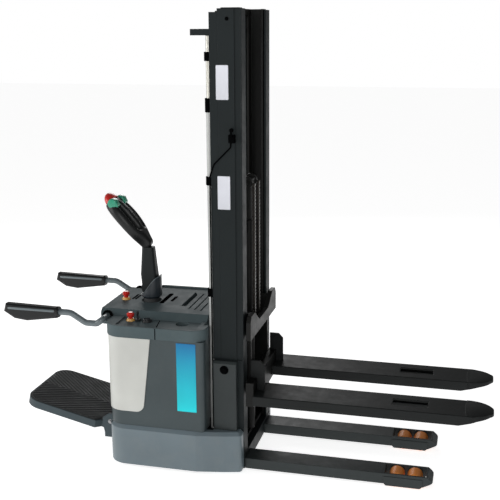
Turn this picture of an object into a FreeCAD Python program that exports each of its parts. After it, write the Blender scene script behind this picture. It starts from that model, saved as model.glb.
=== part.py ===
import FreeCAD, Part
import math
import os

import Sketcher

# Electric stacker with a duplex full-free-lift mast, straddle legs, a tiller,
# a folding rider platform and two folding guard arms.
# Millimetres. +X runs from the operator to the fork tips, +Y to the operator's left,
# +Z up. The drawing's own zero is the fork heel at mid width on the floor; every piece is
# then moved by heel_x, so that the row's origin is the middle of the whole machine's box.

SIZES = [
    # name, value, what it measures
    ("fork_length", 1150, "fork, heel to tip"),
    ("fork_width", 200, "fork, over its side walls"),
    ("forks_over", 636, "outside of one fork to outside of the other"),
    ("fork_top", 434, "fork's upper face above the floor as parked"),
    ("fork_depth", 50, "fork's side wall height"),
    ("fork_skin", 8, "fork's plate thickness"),
    ("fork_tip_width", 70, "flat end of a fork's tip"),
    ("fork_taper", 95, "length over which a fork's tip narrows"),
    ("fork_window_start", 670, "heel to the window over the wheels"),
    ("fork_window_length", 172, "window over the wheels, length"),
    ("fork_window_width", 78, "window over the wheels, width"),
    ("gusset_reach", 31, "fork's upright plate, in front of the heel"),
    ("gusset_height", 154, "fork's upright plate, above the fork"),
    ("gusset_thick", 12, "fork's upright plate, thickness"),
    ("leg_reach", 881, "heel to the straddle leg's tip"),
    ("leg_width", 119, "straddle leg, width"),
    ("legs_over", 549, "outside of one leg to outside of the other"),
    ("leg_top", 75, "straddle leg's upper face above the floor"),
    ("leg_bottom", 21, "straddle leg's lower edge above the floor"),
    ("leg_skin", 8, "straddle leg's plate thickness"),
    ("leg_cheek", 10, "wall beside the load wheels"),
    ("pocket_start", 646, "heel to the load wheels' pocket"),
    ("pocket_length", 203, "load wheels' pocket, length"),
    ("load_wheel_radius", 38, "load wheel"),
    ("load_wheel_width", 84, "load wheel"),
    ("load_wheel_front", 792, "heel to the front load wheel's axle"),
    ("load_wheel_rear", 703, "heel to the rear load wheel's axle"),
    ("load_axle_radius", 10, "load wheel's axle"),
    ("running_gap", 0.1, "radial clearance of a wheel or pin in its bore"),
    ("face_gap", 0.3, "clearance beside a seated moving piece"),
    ("front_face", -60, "chassis front beam's front face"),
    ("beam_rear", -213, "chassis front beam's rear face"),
    ("floor_gap", 25, "chassis plates' lower edge above the floor"),
    ("beam_top", 98, "chassis front beam's upper face"),
    ("cheek_front", -64, "skirt's front end beside the mast"),
    ("cheek_front_half", 340, "half width over the skirt at its front end"),
    ("cheek_turn", -150, "where the skirt turns in to its front end"),
    ("cheek_turn_half", 362, "half width over the skirt at that turn"),
    ("plate_bottom", 205, "floor plate's lower face"),
    ("plate_thick", 10, "floor plate"),
    ("skirt_half", 388, "half width over the skirt"),
    ("skirt_rear", -772, "skirt's rear face"),
    ("skirt_corner", 105, "skirt's rear corner radius"),
    ("skirt_bottom", 30, "skirt's lower edge above the floor"),
    ("skirt_skin", 6, "skirt's wall"),
    ("ledge_thick", 25, "skirt's upper ledge"),
    ("ledge_bevel", 16, "bevel along the ledge"),
    ("cover_half", 372, "half width over the body cover"),
    ("cover_rear", -765, "body cover's rear face"),
    ("cover_front", -244, "body cover's front edge"),
    ("cover_recess", -268, "body cover's front wall between its side edges"),
    ("cover_corner", 85, "body cover's rear corner radius"),
    ("cover_top", 712, "body cover's upper edge"),
    ("cover_skin", 6, "body cover's wall"),
    ("panel_thick", 4, "pale corner panel"),
    ("panel_bottom", 318, "pale corner panel's lower edge"),
    ("panel_top_front", -518, "pale panel's front edge at its top"),
    ("panel_low_front", -560, "pale panel's front edge at its bottom"),
    ("panel_rear_half", 235, "pale panel's inner edge on the rear face"),
    ("deck_half", 380, "half width over the deck's rim"),
    ("deck_rim", 772, "deck's rim above the floor"),
    ("deck_crown", 798, "console's upper face above the floor"),
    ("console_half", 190, "half width of the console's flat top"),
    ("console_foot", 232, "half width of the console where it meets the shelf"),
    ("nose_rear", -845, "console nose's rear face"),
    ("nose_bottom", 725, "console nose's lower face"),
    ("shelf_drop", 8, "shelf below the deck's rim"),
    ("steer_x", -640, "steering axis, from the heel"),
    ("drive_radius", 110, "drive wheel"),
    ("drive_width", 75, "drive wheel"),
    ("drive_opening", 100, "opening in the floor plate, radius"),
    ("turntable_radius", 110, "drive unit's turntable"),
    ("motor_radius", 85, "drive motor"),
    ("motor_top", 500, "drive motor's upper end"),
    ("caster_x", -585, "caster's swivel axis"),
    ("caster_half", 268, "caster's swivel axis from mid width"),
    ("stem_radius", 14, "caster swivel stem"),
    ("caster_trail", 38, "caster's axle behind its swivel axis"),
    ("caster_radius", 62.5, "caster wheel"),
    ("caster_width", 38, "caster wheel"),
    ("column_rear", -177, "outer mast column's rear face"),
    ("column_front", -62, "outer mast column's front face"),
    ("plate_clear", 2, "floor plate's clearance inside the skirt"),
    ("column_half", 288, "half width over the outer columns"),
    ("column_flange", 75, "outer column's flange width"),
    ("column_wall", 10, "mast columns' wall"),
    ("column_top", 2296, "outer column's upper end"),
    ("mast_gap", 5, "clearance between the nested columns"),
    ("inner_flange", 65, "inner column's flange width"),
    ("inner_bottom", 105, "inner column's lower end"),
    ("inner_top", 2300, "inner column's upper end"),
    ("tie_height", 24, "mast ties' height"),
    ("bracket_rear", -211, "side bracket's rear edge"),
    ("bracket_front", -92, "side bracket's front edge"),
    ("bracket_half", 320, "half width over the side brackets"),
    ("bracket_top", 604, "side bracket's upper end"),
    ("strip_rear", -216, "duct plate's rear edge"),
    ("strip_top", 2280, "duct plate's upper end"),
    ("strip_thick", 4, "duct plate"),
    ("ram_x", -232, "side lift cylinder's axis"),
    ("ram_half", 242, "side lift cylinder's axis from mid width"),
    ("ram_radius", 16, "side lift cylinder's tube"),
    ("ram_head_radius", 19, "side lift cylinder's head"),
    ("ram_head_height", 60, "side lift cylinder's head"),
    ("ram_top", 1888, "side lift cylinder's upper end"),
    ("rod_radius", 13, "side lift cylinder's rod"),
    ("rod_gap", 1, "rods' clearance in their tubes"),
    ("rod_in_tube", 1480, "rod hidden in its tube"),
    ("beam_back", -310, "lift beam's rear face"),
    ("beam_front", -197, "lift beam's front face"),
    ("lift_beam_bottom", 2176, "lift beam's lower face"),
    ("lift_beam_height", 29, "lift beam's height"),
    ("lift_beam_half", 276, "half length of the lift beam"),
    ("free_x", -104, "free-lift cylinder's axis"),
    ("free_radius", 28, "free-lift cylinder's tube"),
    ("free_top", 1262, "free-lift cylinder's upper end"),
    ("free_rod_radius", 17, "free-lift cylinder's rod"),
    ("free_rod_in_tube", 900, "free-lift rod hidden in its tube"),
    ("yoke_bottom", 1440, "crosshead yoke's lower face"),
    ("yoke_height", 34, "crosshead yoke"),
    ("yoke_half", 68, "crosshead yoke's half width"),
    ("yoke_length", 52, "crosshead yoke along X"),
    ("sheave_radius", 33, "chain wheel"),
    ("sheave_width", 22, "chain wheel"),
    ("chain_half", 46, "chains' distance from mid width"),
    ("chain_width", 20, "leaf chain's width"),
    ("chain_height", 13, "leaf chain's plate height"),
    ("chain_pitch", 19, "leaf chain's pitch"),
    ("chain_anchor", 740, "chains' lower end on the carriage"),
    ("rear_anchor", 1235, "chains' fixed end beside the free-lift cylinder"),
    ("bar_rear", -48, "carriage bars' rear face"),
    ("lower_bar_front", -9, "lower carriage bar's front face"),
    ("lower_bar_half", 300, "half length of the lower carriage bar"),
    ("lower_bar_bottom", 370, "lower carriage bar's lower edge"),
    ("lower_bar_top", 495, "lower carriage bar's upper edge"),
    ("leg_clear", 5.5, "carriage's clearance round a leg when lowered"),
    ("upper_bar_front", -25, "upper carriage bar's front face"),
    ("upper_bar_half", 286, "half length of the upper carriage bar"),
    ("upper_bar_bottom", 710, "upper carriage bar's lower edge"),
    ("upper_bar_mid_top", 768, "upper carriage bar's upper edge at mid width"),
    ("upper_bar_end_top", 832, "upper carriage bar's upper edge at its ends"),
    ("upright_half", 190, "half width over the carriage uprights"),
    ("upright_thick", 16, "carriage upright"),
    ("upright_rear", -142, "carriage upright's rear edge"),
    ("upright_bottom", 478, "carriage upright's lower end"),
    ("upright_top", 820, "carriage upright's upper end"),
    ("roller_radius", 27, "carriage roller"),
    ("roller_width", 50, "carriage roller"),
    ("carriage_drop", 344, "forks' travel from as parked down to the floor"),
    ("tiller_pivot", 872, "tiller's tilt axis above the floor"),
    ("cup_radius", 57, "tiller cup"),
    ("cup_wall", 7, "tiller cup's wall"),
    ("cup_bottom", 816, "tiller cup's lower edge"),
    ("cup_front_top", 950, "tiller cup's rim at the front"),
    ("cup_rear_top", 826, "tiller cup's rim at the rear"),
    ("boot_radius", 47, "rubber boot under the cup"),
    ("tiller_low_depth", 88, "tiller arm's depth at its foot"),
    ("tiller_low_width", 66, "tiller arm's width at its foot"),
    ("tiller_neck_depth", 64, "tiller arm's depth at its neck"),
    ("tiller_neck_width", 52, "tiller arm's width at its neck"),
    ("tiller_neck", 1090, "tiller arm's neck above the floor"),
    ("head_lean", 40, "tiller head's lean from upright, degrees"),
    ("head_length", 304, "tiller head, neck to tip"),
    ("head_width", 160, "tiller head across the grips"),
    ("head_thick", 58, "tiller head's thickness"),
    ("head_grip", 30, "tiller head's grip bar width"),
    ("platform_pin_x", -817, "platform's hinge pin"),
    ("platform_pin_z", 171, "platform's hinge pin above the floor"),
    ("platform_pin_radius", 8, "platform's hinge pin"),
    ("platform_length", 496, "platform, hinge pin to its rear edge"),
    ("platform_front", 18, "platform in front of its hinge pin"),
    ("platform_width", 460, "platform's width"),
    ("platform_thick", 41, "platform's tray"),
    ("platform_drop", 14, "platform's rim below its pin"),
    ("platform_neck", -76, "where the platform narrows to pass between its ears"),
    ("platform_neck_half", 196, "half width between the ears"),
    ("platform_tilt", 13, "platform's rise from level as parked, degrees"),
    ("platform_corner", 85, "platform's rear corner radius"),
    ("mat_margin", 5, "painted rim round the rubber mat"),
    ("mat_sunk", 3, "rubber mat's depth in the tray"),
    ("mat_proud", 4, "rubber mat above the tray's rim"),
    ("ear_thick", 12, "platform hinge ear"),
    ("ear_gap", 6, "between platform and hinge ear"),
    ("ear_rear", -860, "hinge ear's rear edge"),
    ("ear_bottom", 82, "hinge ear's lower edge"),
    ("ear_top", 214, "hinge ear's upper edge"),
    ("arm_half", 310, "guard arms from mid width"),
    ("arm_pivot_x", -796, "guard arm's pivot"),
    ("arm_pivot_z", 772, "guard arm's pivot above the floor"),
    ("arm_radius", 16, "guard arm's tube"),
    ("arm_dip", 750, "guard arm's lowest bend above the floor"),
    ("arm_rise", 798, "guard arm's grip axis above the floor"),
    ("grip_start", -1036, "guard grip's front end"),
    ("grip_length", 300, "guard grip"),
    ("grip_above", 24, "guard grip above its axis"),
    ("grip_below", 56, "guard grip's belly below its axis"),
    ("grip_thick", 50, "guard grip's thickness"),
    ("button_radius", 20, "stop button's mushroom head"),
    ("button_x", -660, "shelf's stop button"),
    ("button_y", -262, "shelf's stop button"),
    ("nose_button_x", -778, "console nose's stop button"),
    ("nose_button_y", -20, "console nose's stop button"),
    ("key_x", -622, "key switch"),
    ("gauge_x", -572, "charge gauge"),
    ("cup_x", -384, "cup well"),
    ("cup_y", -262, "cup well"),
    ("cup_well_radius", 34, "cup well"),
    ("cup_floor", 724, "cup well's floor above the ground"),
    ("deck_corner", 70, "deck's front corner radius"),
    ("cover_front_corner", 22, "cover's front corner radius"),
    ("switch_x", -106, "limit switch on the right-hand column"),
    ("switch_z", 1712, "limit switch above the floor"),
    ("cable_radius", 3.5, "limit switch's cable"),
    ("belly_length", 34, "belly switch beyond the tiller head"),
    ("belly_width", 92, "belly switch across the tiller"),
    ("belly_thick", 46, "belly switch's thickness"),
]


class Size:
    """A dimension: its number, and the spreadsheet formula that gives it."""

    def __init__(self, value, text):
        self.value = float(value)
        self.text = text

    def __add__(self, other):
        other = as_size(other)
        return Size(self.value + other.value, f"({self.text} + {other.text})")

    def __sub__(self, other):
        other = as_size(other)
        return Size(self.value - other.value, f"({self.text} - {other.text})")

    def __mul__(self, other):
        other = as_size(other)
        return Size(self.value * other.value, f"({self.text} * {other.text})")

    def __truediv__(self, other):
        other = as_size(other)
        return Size(self.value / other.value, f"({self.text} / {other.text})")

    def __radd__(self, other):
        return as_size(other) + self

    def __rsub__(self, other):
        return as_size(other) - self

    def __rmul__(self, other):
        return as_size(other) * self

    def __neg__(self):
        return as_size(0) - self


def as_size(number):
    if isinstance(number, Size):
        return number
    return Size(number, repr(float(number)))


class Named:
    """The sizes by name: s.fork_length and so on."""


doc = FreeCAD.newDocument("electric_stacker")
sheet = doc.addObject("Spreadsheet::Sheet", "Sizes")
s = Named()
for row, (name, value, meaning) in enumerate(SIZES, start=1):
    sheet.set(f"A{row}", name)
    sheet.set(f"B{row}", str(value))
    sheet.set(f"C{row}", meaning)
    sheet.setAlias(f"B{row}", name)
    setattr(s, name, Size(value, "Sizes." + name))
doc.recompute()

# Values worked out from the sizes
s.rear_reach = s.grip_length - s.grip_start
s.heel_x = (s.rear_reach - s.fork_length) / 2
s.fork_y = (s.forks_over - s.fork_width) / 2
s.leg_y = (s.legs_over - s.leg_width) / 2
s.plate_top = s.plate_bottom + s.plate_thick
s.ledge_top = s.plate_top + s.ledge_thick
s.inner_rear = s.column_rear + s.column_wall + s.mast_gap
s.inner_front = s.column_front - s.column_wall - s.mast_gap
s.inner_half = s.column_half - s.column_wall - s.mast_gap
s.platform_half = s.platform_width / 2
s.ear_inner = s.platform_neck_half + s.ear_gap
s.sheave_z = s.yoke_bottom + s.yoke_height / 2

SIDES = [("left", 1), ("right", -1)]
nodes = []


def vec(x, y, z):
    return FreeCAD.Vector(as_size(x).value, as_size(y).value, as_size(z).value)


def keep(shape_object, label):
    """Name a finished sub-part and put it at its place in the row."""
    shape_object.Label = label
    shape_object.setExpression(".Placement.Base.x", s.heel_x.text)
    nodes.append(shape_object)
    return shape_object


def new_body(label):
    body = doc.addObject("PartDesign::Body", "Body_" + label)
    keep(body, label)
    doc.recompute()
    return body


def sketch_on(body, role, height=0):
    """A sketch on one of the body's own planes, lifted along the plane's normal."""
    support = next(item for item in body.Origin.OriginFeatures if item.Role == role)
    sketch = body.newObject("Sketcher::SketchObject", "Sketch")
    sketch.AttachmentSupport = [(support, "")]
    sketch.MapMode = "FlatFace"
    sketch.setExpression("AttachmentOffset.Base.z", as_size(height).text)
    return sketch


def pin_down(sketch, geometry, point, x, y):
    """Hold one point of a sketch at its place by two driving dimensions."""
    for kind, distance in (("DistanceX", as_size(x)), ("DistanceY", as_size(y))):
        index = sketch.addConstraint(
            Sketcher.Constraint(kind, -1, 1, geometry, point, distance.value))
        sketch.setExpression(f"Constraints[{index}]", distance.text)


def outline(sketch, points):
    """A closed outline of straight lines through the points."""
    first = sketch.GeometryCount
    count = len(points)
    corners = [vec(x, y, 0) for x, y in points]
    for i in range(count):
        sketch.addGeometry(Part.LineSegment(corners[i], corners[(i + 1) % count]), False)
    for i in range(count):
        sketch.addConstraint(
            Sketcher.Constraint("Coincident", first + i, 2, first + (i + 1) % count, 1))
    for i, (x, y) in enumerate(points):
        pin_down(sketch, first + i, 1, x, y)


def rectangle(sketch, low_x, high_x, low_y, high_y):
    outline(sketch, [(low_x, low_y), (high_x, low_y), (high_x, high_y), (low_x, high_y)])


def circle(sketch, x, y, radius):
    radius = as_size(radius)
    normal = FreeCAD.Vector(0, 0, 1)
    index = sketch.addGeometry(Part.Circle(vec(x, y, 0), normal, radius.value), False)
    pin_down(sketch, index, 3, x, y)
    held = sketch.addConstraint(Sketcher.Constraint("Radius", index, radius.value))
    sketch.setExpression(f"Constraints[{held}]", radius.text)


def pad(body, sketch, length, symmetric=False, flip=False):
    feature = body.newObject("PartDesign::Pad", "Pad")
    feature.Profile = sketch
    feature.SideType = "Symmetric" if symmetric else "One side"
    feature.Reversed = flip
    feature.setExpression("Length", as_size(length).text)
    doc.recompute()
    return feature


def pocket(body, sketch, depth=None, symmetric=False, flip=False):
    """Cut the sketch's outline; the volume must fall, or the cut missed the solid."""
    before = body.Shape.Volume
    feature = body.newObject("PartDesign::Pocket", "Pocket")
    feature.Profile = sketch
    feature.SideType = "Symmetric" if symmetric else "One side"
    feature.Reversed = flip
    if depth is None:
        feature.Type = "ThroughAll"
    else:
        feature.setExpression("Length", as_size(depth).text)
    doc.recompute()
    if body.Shape.Volume >= before:
        raise RuntimeError(f"{body.Label}: a cut took nothing away")
    return feature


def edges_at(shape, axis, places):
    """Names of the straight edges along one axis that stand at the given places.

    A place gives the two coordinates across the axis, in X, Y, Z order."""
    across = [i for i in range(3) if i != "XYZ".index(axis)]
    found = []
    for number, edge in enumerate(shape.Edges, start=1):
        if edge.Curve.TypeId != "Part::GeomLine":
            continue
        run = edge.Vertexes[-1].Point - edge.Vertexes[0].Point
        if any(abs(run[i]) > 0.01 for i in across):
            continue
        middle = edge.CenterOfMass
        for place in places:
            wanted = [as_size(number).value for number in place]
            if all(abs(middle[i] - want) < 0.05 for i, want in zip(across, wanted)):
                found.append(f"Edge{number}")
    if not found:
        raise RuntimeError("no edge stands at the places given")
    return found


def soften(body, kind, names, amount):
    """Round (Fillet) or bevel (Chamfer) the named edges of the body's last feature."""
    base = body.Tip
    feature = body.newObject("PartDesign::" + kind, kind)
    feature.Base = (base, names)
    feature.setExpression("Radius" if kind == "Fillet" else "Size", as_size(amount).text)
    doc.recompute()
    return feature


def solid_box(low, high):
    """A box between two corners, for a boolean."""
    box = doc.addObject("Part::Box", "Box")
    for prop, axis, a, b in zip(("Length", "Width", "Height"), "xyz", low, high):
        box.setExpression(prop, (as_size(b) - as_size(a)).text)
        box.setExpression(".Placement.Base." + axis, as_size(a).text)
    return box


def block(points, bottom, top, corners=(), radius=0):
    """An upright block from a plan outline, some of its corners rounded."""
    body = doc.addObject("PartDesign::Body", "Block")
    doc.recompute()
    plan = sketch_on(body, "XY_Plane", bottom)
    outline(plan, points)
    pad(body, plan, as_size(top) - bottom)
    if corners:
        soften(body, "Fillet", edges_at(body.Tip.Shape, "Z", corners), radius)
    return body


TURNS = {
    "X": FreeCAD.Rotation(FreeCAD.Vector(0, 1, 0), 90),
    "Y": FreeCAD.Rotation(FreeCAD.Vector(1, 0, 0), -90),
    "Z": FreeCAD.Rotation(),
}


def rod(axis, start, length, radius):
    """A round bar from its start point along +axis."""
    bar = doc.addObject("Part::Cylinder", "Cylinder")
    bar.Placement = FreeCAD.Placement(FreeCAD.Vector(), TURNS[axis])
    bar.setExpression("Radius", as_size(radius).text)
    bar.setExpression("Height", as_size(length).text)
    for name, place in zip("xyz", start):
        bar.setExpression(".Placement.Base." + name, as_size(place).text)
    return bar


def taper(start, length, low_radius, high_radius):
    """An upright cone frustum."""
    cone = doc.addObject("Part::Cone", "Cone")
    cone.setExpression("Radius1", as_size(low_radius).text)
    cone.setExpression("Radius2", as_size(high_radius).text)
    cone.setExpression("Height", as_size(length).text)
    for name, place in zip("xyz", start):
        cone.setExpression(".Placement.Base." + name, as_size(place).text)
    return cone


def cut(base, tool):
    result = doc.addObject("Part::Cut", "Cut")
    result.Base = base
    result.Tool = tool
    return result


def fuse(*pieces):
    result = doc.addObject("Part::MultiFuse", "Fusion")
    result.Shapes = list(pieces)
    result.Refine = True
    return result


def group(*pieces):
    """Like pieces that don't touch, kept as one sub-part."""
    result = doc.addObject("Part::Compound", "Group")
    result.Links = list(pieces)
    return result


def bent_tube(points, bends, radius):
    """A round tube along straight runs joined by tangent arcs of the given bend radii."""
    places = [vec(*point) for point in points]
    edges = []
    start = places[0]
    for i in range(1, len(places) - 1):
        back = (places[i - 1] - places[i]).normalize()
        onward = (places[i + 1] - places[i]).normalize()
        half = back.getAngle(onward) / 2
        run = bends[i - 1].value / math.tan(half)
        enter = places[i] + back * run
        leave = places[i] + onward * run
        inward = (back + onward).normalize()
        centre = places[i] + inward * (bends[i - 1].value / math.sin(half))
        middle = centre - inward * bends[i - 1].value
        edges.append(Part.LineSegment(start, enter).toShape())
        edges.append(Part.Arc(enter, middle, leave).toShape())
        start = leave
    edges.append(Part.LineSegment(start, places[-1]).toShape())
    spine = Part.Wire(edges)
    ring = Part.Circle(places[0], places[1] - places[0], as_size(radius).value)
    profile = Part.Wire([ring.toShape()])
    return spine.makePipeShell([profile], True, False)


def shaped(shape, name):
    """A form made by Part's functions from the named sizes."""
    feature = doc.addObject("Part::Feature", name)
    feature.Shape = shape
    return feature


# Chassis

def chassis_frame():
    """Front beam and the floor plate with the drive wheel's opening."""
    beam = solid_box((s.beam_rear, -s.column_half, s.floor_gap),
                     (s.front_face, s.column_half, s.beam_top))
    inset = s.skirt_skin + s.plate_clear
    points, rear, front = skirt_plan(inset)
    half = s.column_half - s.plate_clear
    plate = block([(s.beam_rear + 1, half), *points[2:6], (s.beam_rear + 1, -half)],
                  s.plate_bottom, s.plate_top, rear, s.skirt_corner - inset)
    web = solid_box((s.beam_rear, -half, s.beam_top - 1), (s.beam_rear + 12, half, s.plate_top))
    hole = rod("Z", (s.steer_x, 0, s.plate_bottom - 1), s.plate_thick + 2, s.drive_opening)
    stems = [rod("Z", (s.caster_x, sign * s.caster_half, s.plate_bottom - 1),
                 s.plate_thick + 2, s.stem_radius + s.running_gap) for side, sign in SIDES]
    keep(cut(fuse(beam, web, plate), fuse(hole, *stems)), "chassis_frame")


def straddle_leg(side, sign):
    """An inverted channel whose cheeks carry two load wheels in an open pocket."""
    body = doc.addObject("PartDesign::Body", "Leg_" + side)
    doc.recompute()
    half = s.leg_width / 2
    middle = sign * s.leg_y
    side_view = sketch_on(body, "XZ_Plane", -middle)
    outline(side_view, [
        (s.front_face, s.leg_bottom),
        (s.leg_reach - 48, s.leg_bottom),
        (s.leg_reach, s.leg_bottom + 25),
        (s.leg_reach, s.leg_bottom + 33),
        (s.leg_reach - 26, s.leg_top),
        (s.front_face, s.leg_top),
    ])
    pad(body, side_view, s.leg_width, symmetric=True)
    tip = [(s.leg_reach, middle - half), (s.leg_reach, middle + half)]
    soften(body, "Fillet", edges_at(body.Tip.Shape, "Z", tip), 16)
    under = sketch_on(body, "XY_Plane", s.leg_top - s.leg_skin)
    rectangle(under, s.front_face + s.leg_skin, s.pocket_start - 20,
              middle - half + s.leg_skin, middle + half - s.leg_skin)
    pocket(body, under)
    well = sketch_on(body, "XY_Plane", s.leg_top + 1)
    rectangle(well, s.pocket_start, s.pocket_start + s.pocket_length,
              middle - half + s.leg_cheek, middle + half - s.leg_cheek)
    pocket(body, well)
    for place in (s.load_wheel_rear, s.load_wheel_front):
        axle = sketch_on(body, "XZ_Plane", -middle)
        circle(axle, place, s.load_wheel_radius, s.load_axle_radius)
        pad(body, axle, s.leg_width, symmetric=True)
    return body


def skirt_plan(inset):
    """The skirt's plan, drawn in from its outside by the inset, and its corners."""
    half = s.skirt_half - inset
    rear = s.skirt_rear + inset
    turn_in = s.beam_rear - 75
    bend = s.cheek_turn_half - inset
    tip = s.cheek_front_half - inset
    points = [
        (s.cheek_front, tip), (s.cheek_turn, bend), (turn_in, half), (rear, half),
        (rear, -half), (turn_in, -half), (s.cheek_turn, -bend), (s.cheek_front, -tip),
    ]
    return points, [(rear, half), (rear, -half)], [(turn_in, half), (turn_in, -half)]


def skirt():
    """The painted wall round the drive wheel and casters, with a bevelled ledge on top."""
    points, rear, front = skirt_plan(as_size(0))
    shell = block(points, s.skirt_bottom, s.ledge_top, rear, s.skirt_corner)
    tips = [(s.cheek_front, s.cheek_front_half), (s.cheek_front, -s.cheek_front_half)]
    soften(shell, "Fillet", edges_at(shell.Tip.Shape, "Z", tips), 20)
    soften(shell, "Fillet", edges_at(shell.Tip.Shape, "Z", front), 60)
    rim = []
    for number, edge in enumerate(shell.Tip.Shape.Edges, start=1):
        box = edge.BoundBox
        level = abs(box.ZMin - s.ledge_top.value) < 0.01 and box.ZLength < 0.01
        inside = max(abs(box.YMin), abs(box.YMax)) < s.cheek_front_half.value - 20.5
        across_front = box.XMin > s.cheek_front.value - 0.01
        if level and not inside and not across_front:
            rim.append(f"Edge{number}")
    soften(shell, "Chamfer", rim, s.ledge_bevel)
    points, rear, front = skirt_plan(s.skirt_skin)
    inner = [(s.beam_rear, s.column_half), *points[2:6], (s.beam_rear, -s.column_half)]
    inner[0] = (s.beam_rear, s.cheek_turn_half - s.skirt_skin)
    inner[-1] = (s.beam_rear, s.skirt_skin - s.cheek_turn_half)
    room = block(inner, s.skirt_bottom - 1, s.plate_top, rear, s.skirt_corner - s.skirt_skin)
    opening = solid_box((s.cover_rear + s.cover_skin + 1, -s.ledge_inner, s.plate_top - 1),
                        (s.beam_rear + 1, s.ledge_inner, s.ledge_top + 1))
    mast_slot = solid_box((s.beam_rear, -s.column_half, s.skirt_bottom - 1),
                          (s.cheek_front + 1, s.column_half, s.ledge_top + 1))
    keep(cut(cut(cut(shell, room), opening), mast_slot), "skirt")


s.ledge_inner = s.cover_half - 40


def cover_plan(grow, front, recess):
    """The cover's plan outline, grown outwards, with its front wall set back."""
    half = s.cover_half + grow
    step = s.ram_half + s.ram_head_radius + 14
    return [
        (front, half), (s.cover_rear - grow, half), (s.cover_rear - grow, -half),
        (front, -half), (front, -step), (recess, -step), (recess, step), (front, step),
    ]


def rear_corners(grow):
    half = s.cover_half + grow
    return [(s.cover_rear - grow, half), (s.cover_rear - grow, -half)]


def body_cover():
    """The sheet-metal cover: four walls, open below and closed by the deck above."""
    walls = block(cover_plan(as_size(0), s.cover_front, s.cover_recess), s.ledge_top, s.cover_top,
                  rear_corners(as_size(0)), s.cover_corner)
    front = [(s.cover_front, s.cover_half), (s.cover_front, -s.cover_half)]
    soften(walls, "Fillet", edges_at(walls.Tip.Shape, "Z", front), s.cover_front_corner)
    skin = s.cover_skin
    half = s.cover_half - skin
    rear = s.cover_rear + skin
    front = s.cover_recess - skin
    room = block([(rear, -half), (front, -half), (front, half), (rear, half)],
                 s.ledge_top - 1, s.cover_top + 1, rear_corners(-skin), s.cover_corner - skin)
    keep(cut(walls, room), "body_cover")


def corner_panel(side, sign):
    """The pale panel that wraps the cover's rear corner, its front edge slanting."""
    body = doc.addObject("PartDesign::Body", "Panel_" + side)
    doc.recompute()
    plan = sketch_on(body, "XY_Plane", s.panel_bottom)
    near = sign * s.cover_half
    outer = sign * (s.cover_half + s.panel_thick)
    edge = sign * s.panel_rear_half
    outline(plan, [
        (s.panel_top_front, near), (s.cover_rear, near), (s.cover_rear, edge),
        (s.cover_rear - s.panel_thick, edge), (s.cover_rear - s.panel_thick, outer),
        (s.panel_top_front, outer),
    ])
    pad(body, plan, s.cover_top - s.panel_bottom)
    inner = edges_at(body.Tip.Shape, "Z", [(s.cover_rear, near)])
    soften(body, "Fillet", inner, s.cover_corner)
    outside = edges_at(body.Tip.Shape, "Z", [(s.cover_rear - s.panel_thick, outer)])
    soften(body, "Fillet", outside, s.cover_corner + s.panel_thick)
    slant = sketch_on(body, "XZ_Plane", 0)
    turn = 44
    arc = [(s.panel_low_front - turn + turn * math.sin(math.radians(angle)),
            s.panel_bottom + turn - turn * math.cos(math.radians(angle)))
           for angle in range(0, 91, 15)]
    outline(slant, [
        (s.panel_top_front + 1, s.cover_top), (s.panel_top_front + 1, s.panel_bottom - 1),
        (s.panel_low_front - turn, s.panel_bottom - 1), *arc,
        (s.panel_top_front, s.cover_top),
    ])
    pocket(body, slant, flip=sign < 0)
    return body


def deck():
    """The top moulding: rim and shelf, a raised console with a nose, slots and a cup well."""
    body = new_body("deck")
    plan = sketch_on(body, "XY_Plane", s.cover_top)
    grow = s.deck_half - s.cover_half
    outline(plan, cover_plan(grow, s.cover_front + 2, s.cover_recess))
    pad(body, plan, s.deck_rim - s.cover_top)
    soften(body, "Fillet", edges_at(body.Tip.Shape, "Z", rear_corners(grow)), s.cover_corner + grow)
    front = [(s.cover_front + 2, s.deck_half), (s.cover_front + 2, -s.deck_half)]
    soften(body, "Fillet", edges_at(body.Tip.Shape, "Z", front), s.deck_corner)
    shelf = sketch_on(body, "XY_Plane", s.deck_rim + 1)
    rectangle(shelf, s.cover_rear + 60, s.cover_recess - 20, 18 - s.deck_half, s.deck_half - 18)
    pocket(body, shelf, s.shelf_drop + 1)
    section = sketch_on(body, "YZ_Plane", s.nose_rear)
    floor_level = s.deck_rim - s.shelf_drop - 4
    outline(section, [
        (-s.console_foot, floor_level), (s.console_foot, floor_level),
        (s.console_half, s.deck_crown), (-s.console_half, s.deck_crown),
    ])
    pad(body, section, s.cover_recess - s.nose_rear)
    nose = sketch_on(body, "XY_Plane", s.nose_bottom)
    rectangle(nose, s.nose_rear, s.cover_rear, -s.console_foot, s.console_foot)
    pad(body, nose, floor_level - s.nose_bottom + 1)
    rear = [(s.nose_rear, s.console_foot), (s.nose_rear, -s.console_foot)]
    soften(body, "Fillet", edges_at(body.Tip.Shape, "Z", rear), 30)
    column = sketch_on(body, "XY_Plane", s.deck_crown + 1)
    circle(column, s.steer_x, 0, s.boot_radius + 6)
    pocket(body, column)
    for name, offset, width, low_y, high_y, depth in DECK_SLOTS:
        slot = sketch_on(body, "XY_Plane", s.deck_crown + 1)
        middle = s.steer_x + offset
        rectangle(slot, middle - as_size(width) / 2, middle + as_size(width) / 2, low_y, high_y)
        pocket(body, slot, as_size(depth) + 1)
    well = sketch_on(body, "XY_Plane", s.deck_crown + 1)
    circle(well, s.cup_x, s.cup_y, s.cup_well_radius)
    pocket(body, well, s.deck_crown + 1 - s.cup_floor)
    for side, sign in SIDES:
        bore = sketch_on(body, "XZ_Plane", -sign * (s.console_foot - 45))
        circle(bore, s.arm_pivot_x, s.arm_pivot_z, s.arm_radius + s.running_gap)
        pocket(body, bore, 60, flip=sign < 0)


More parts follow.
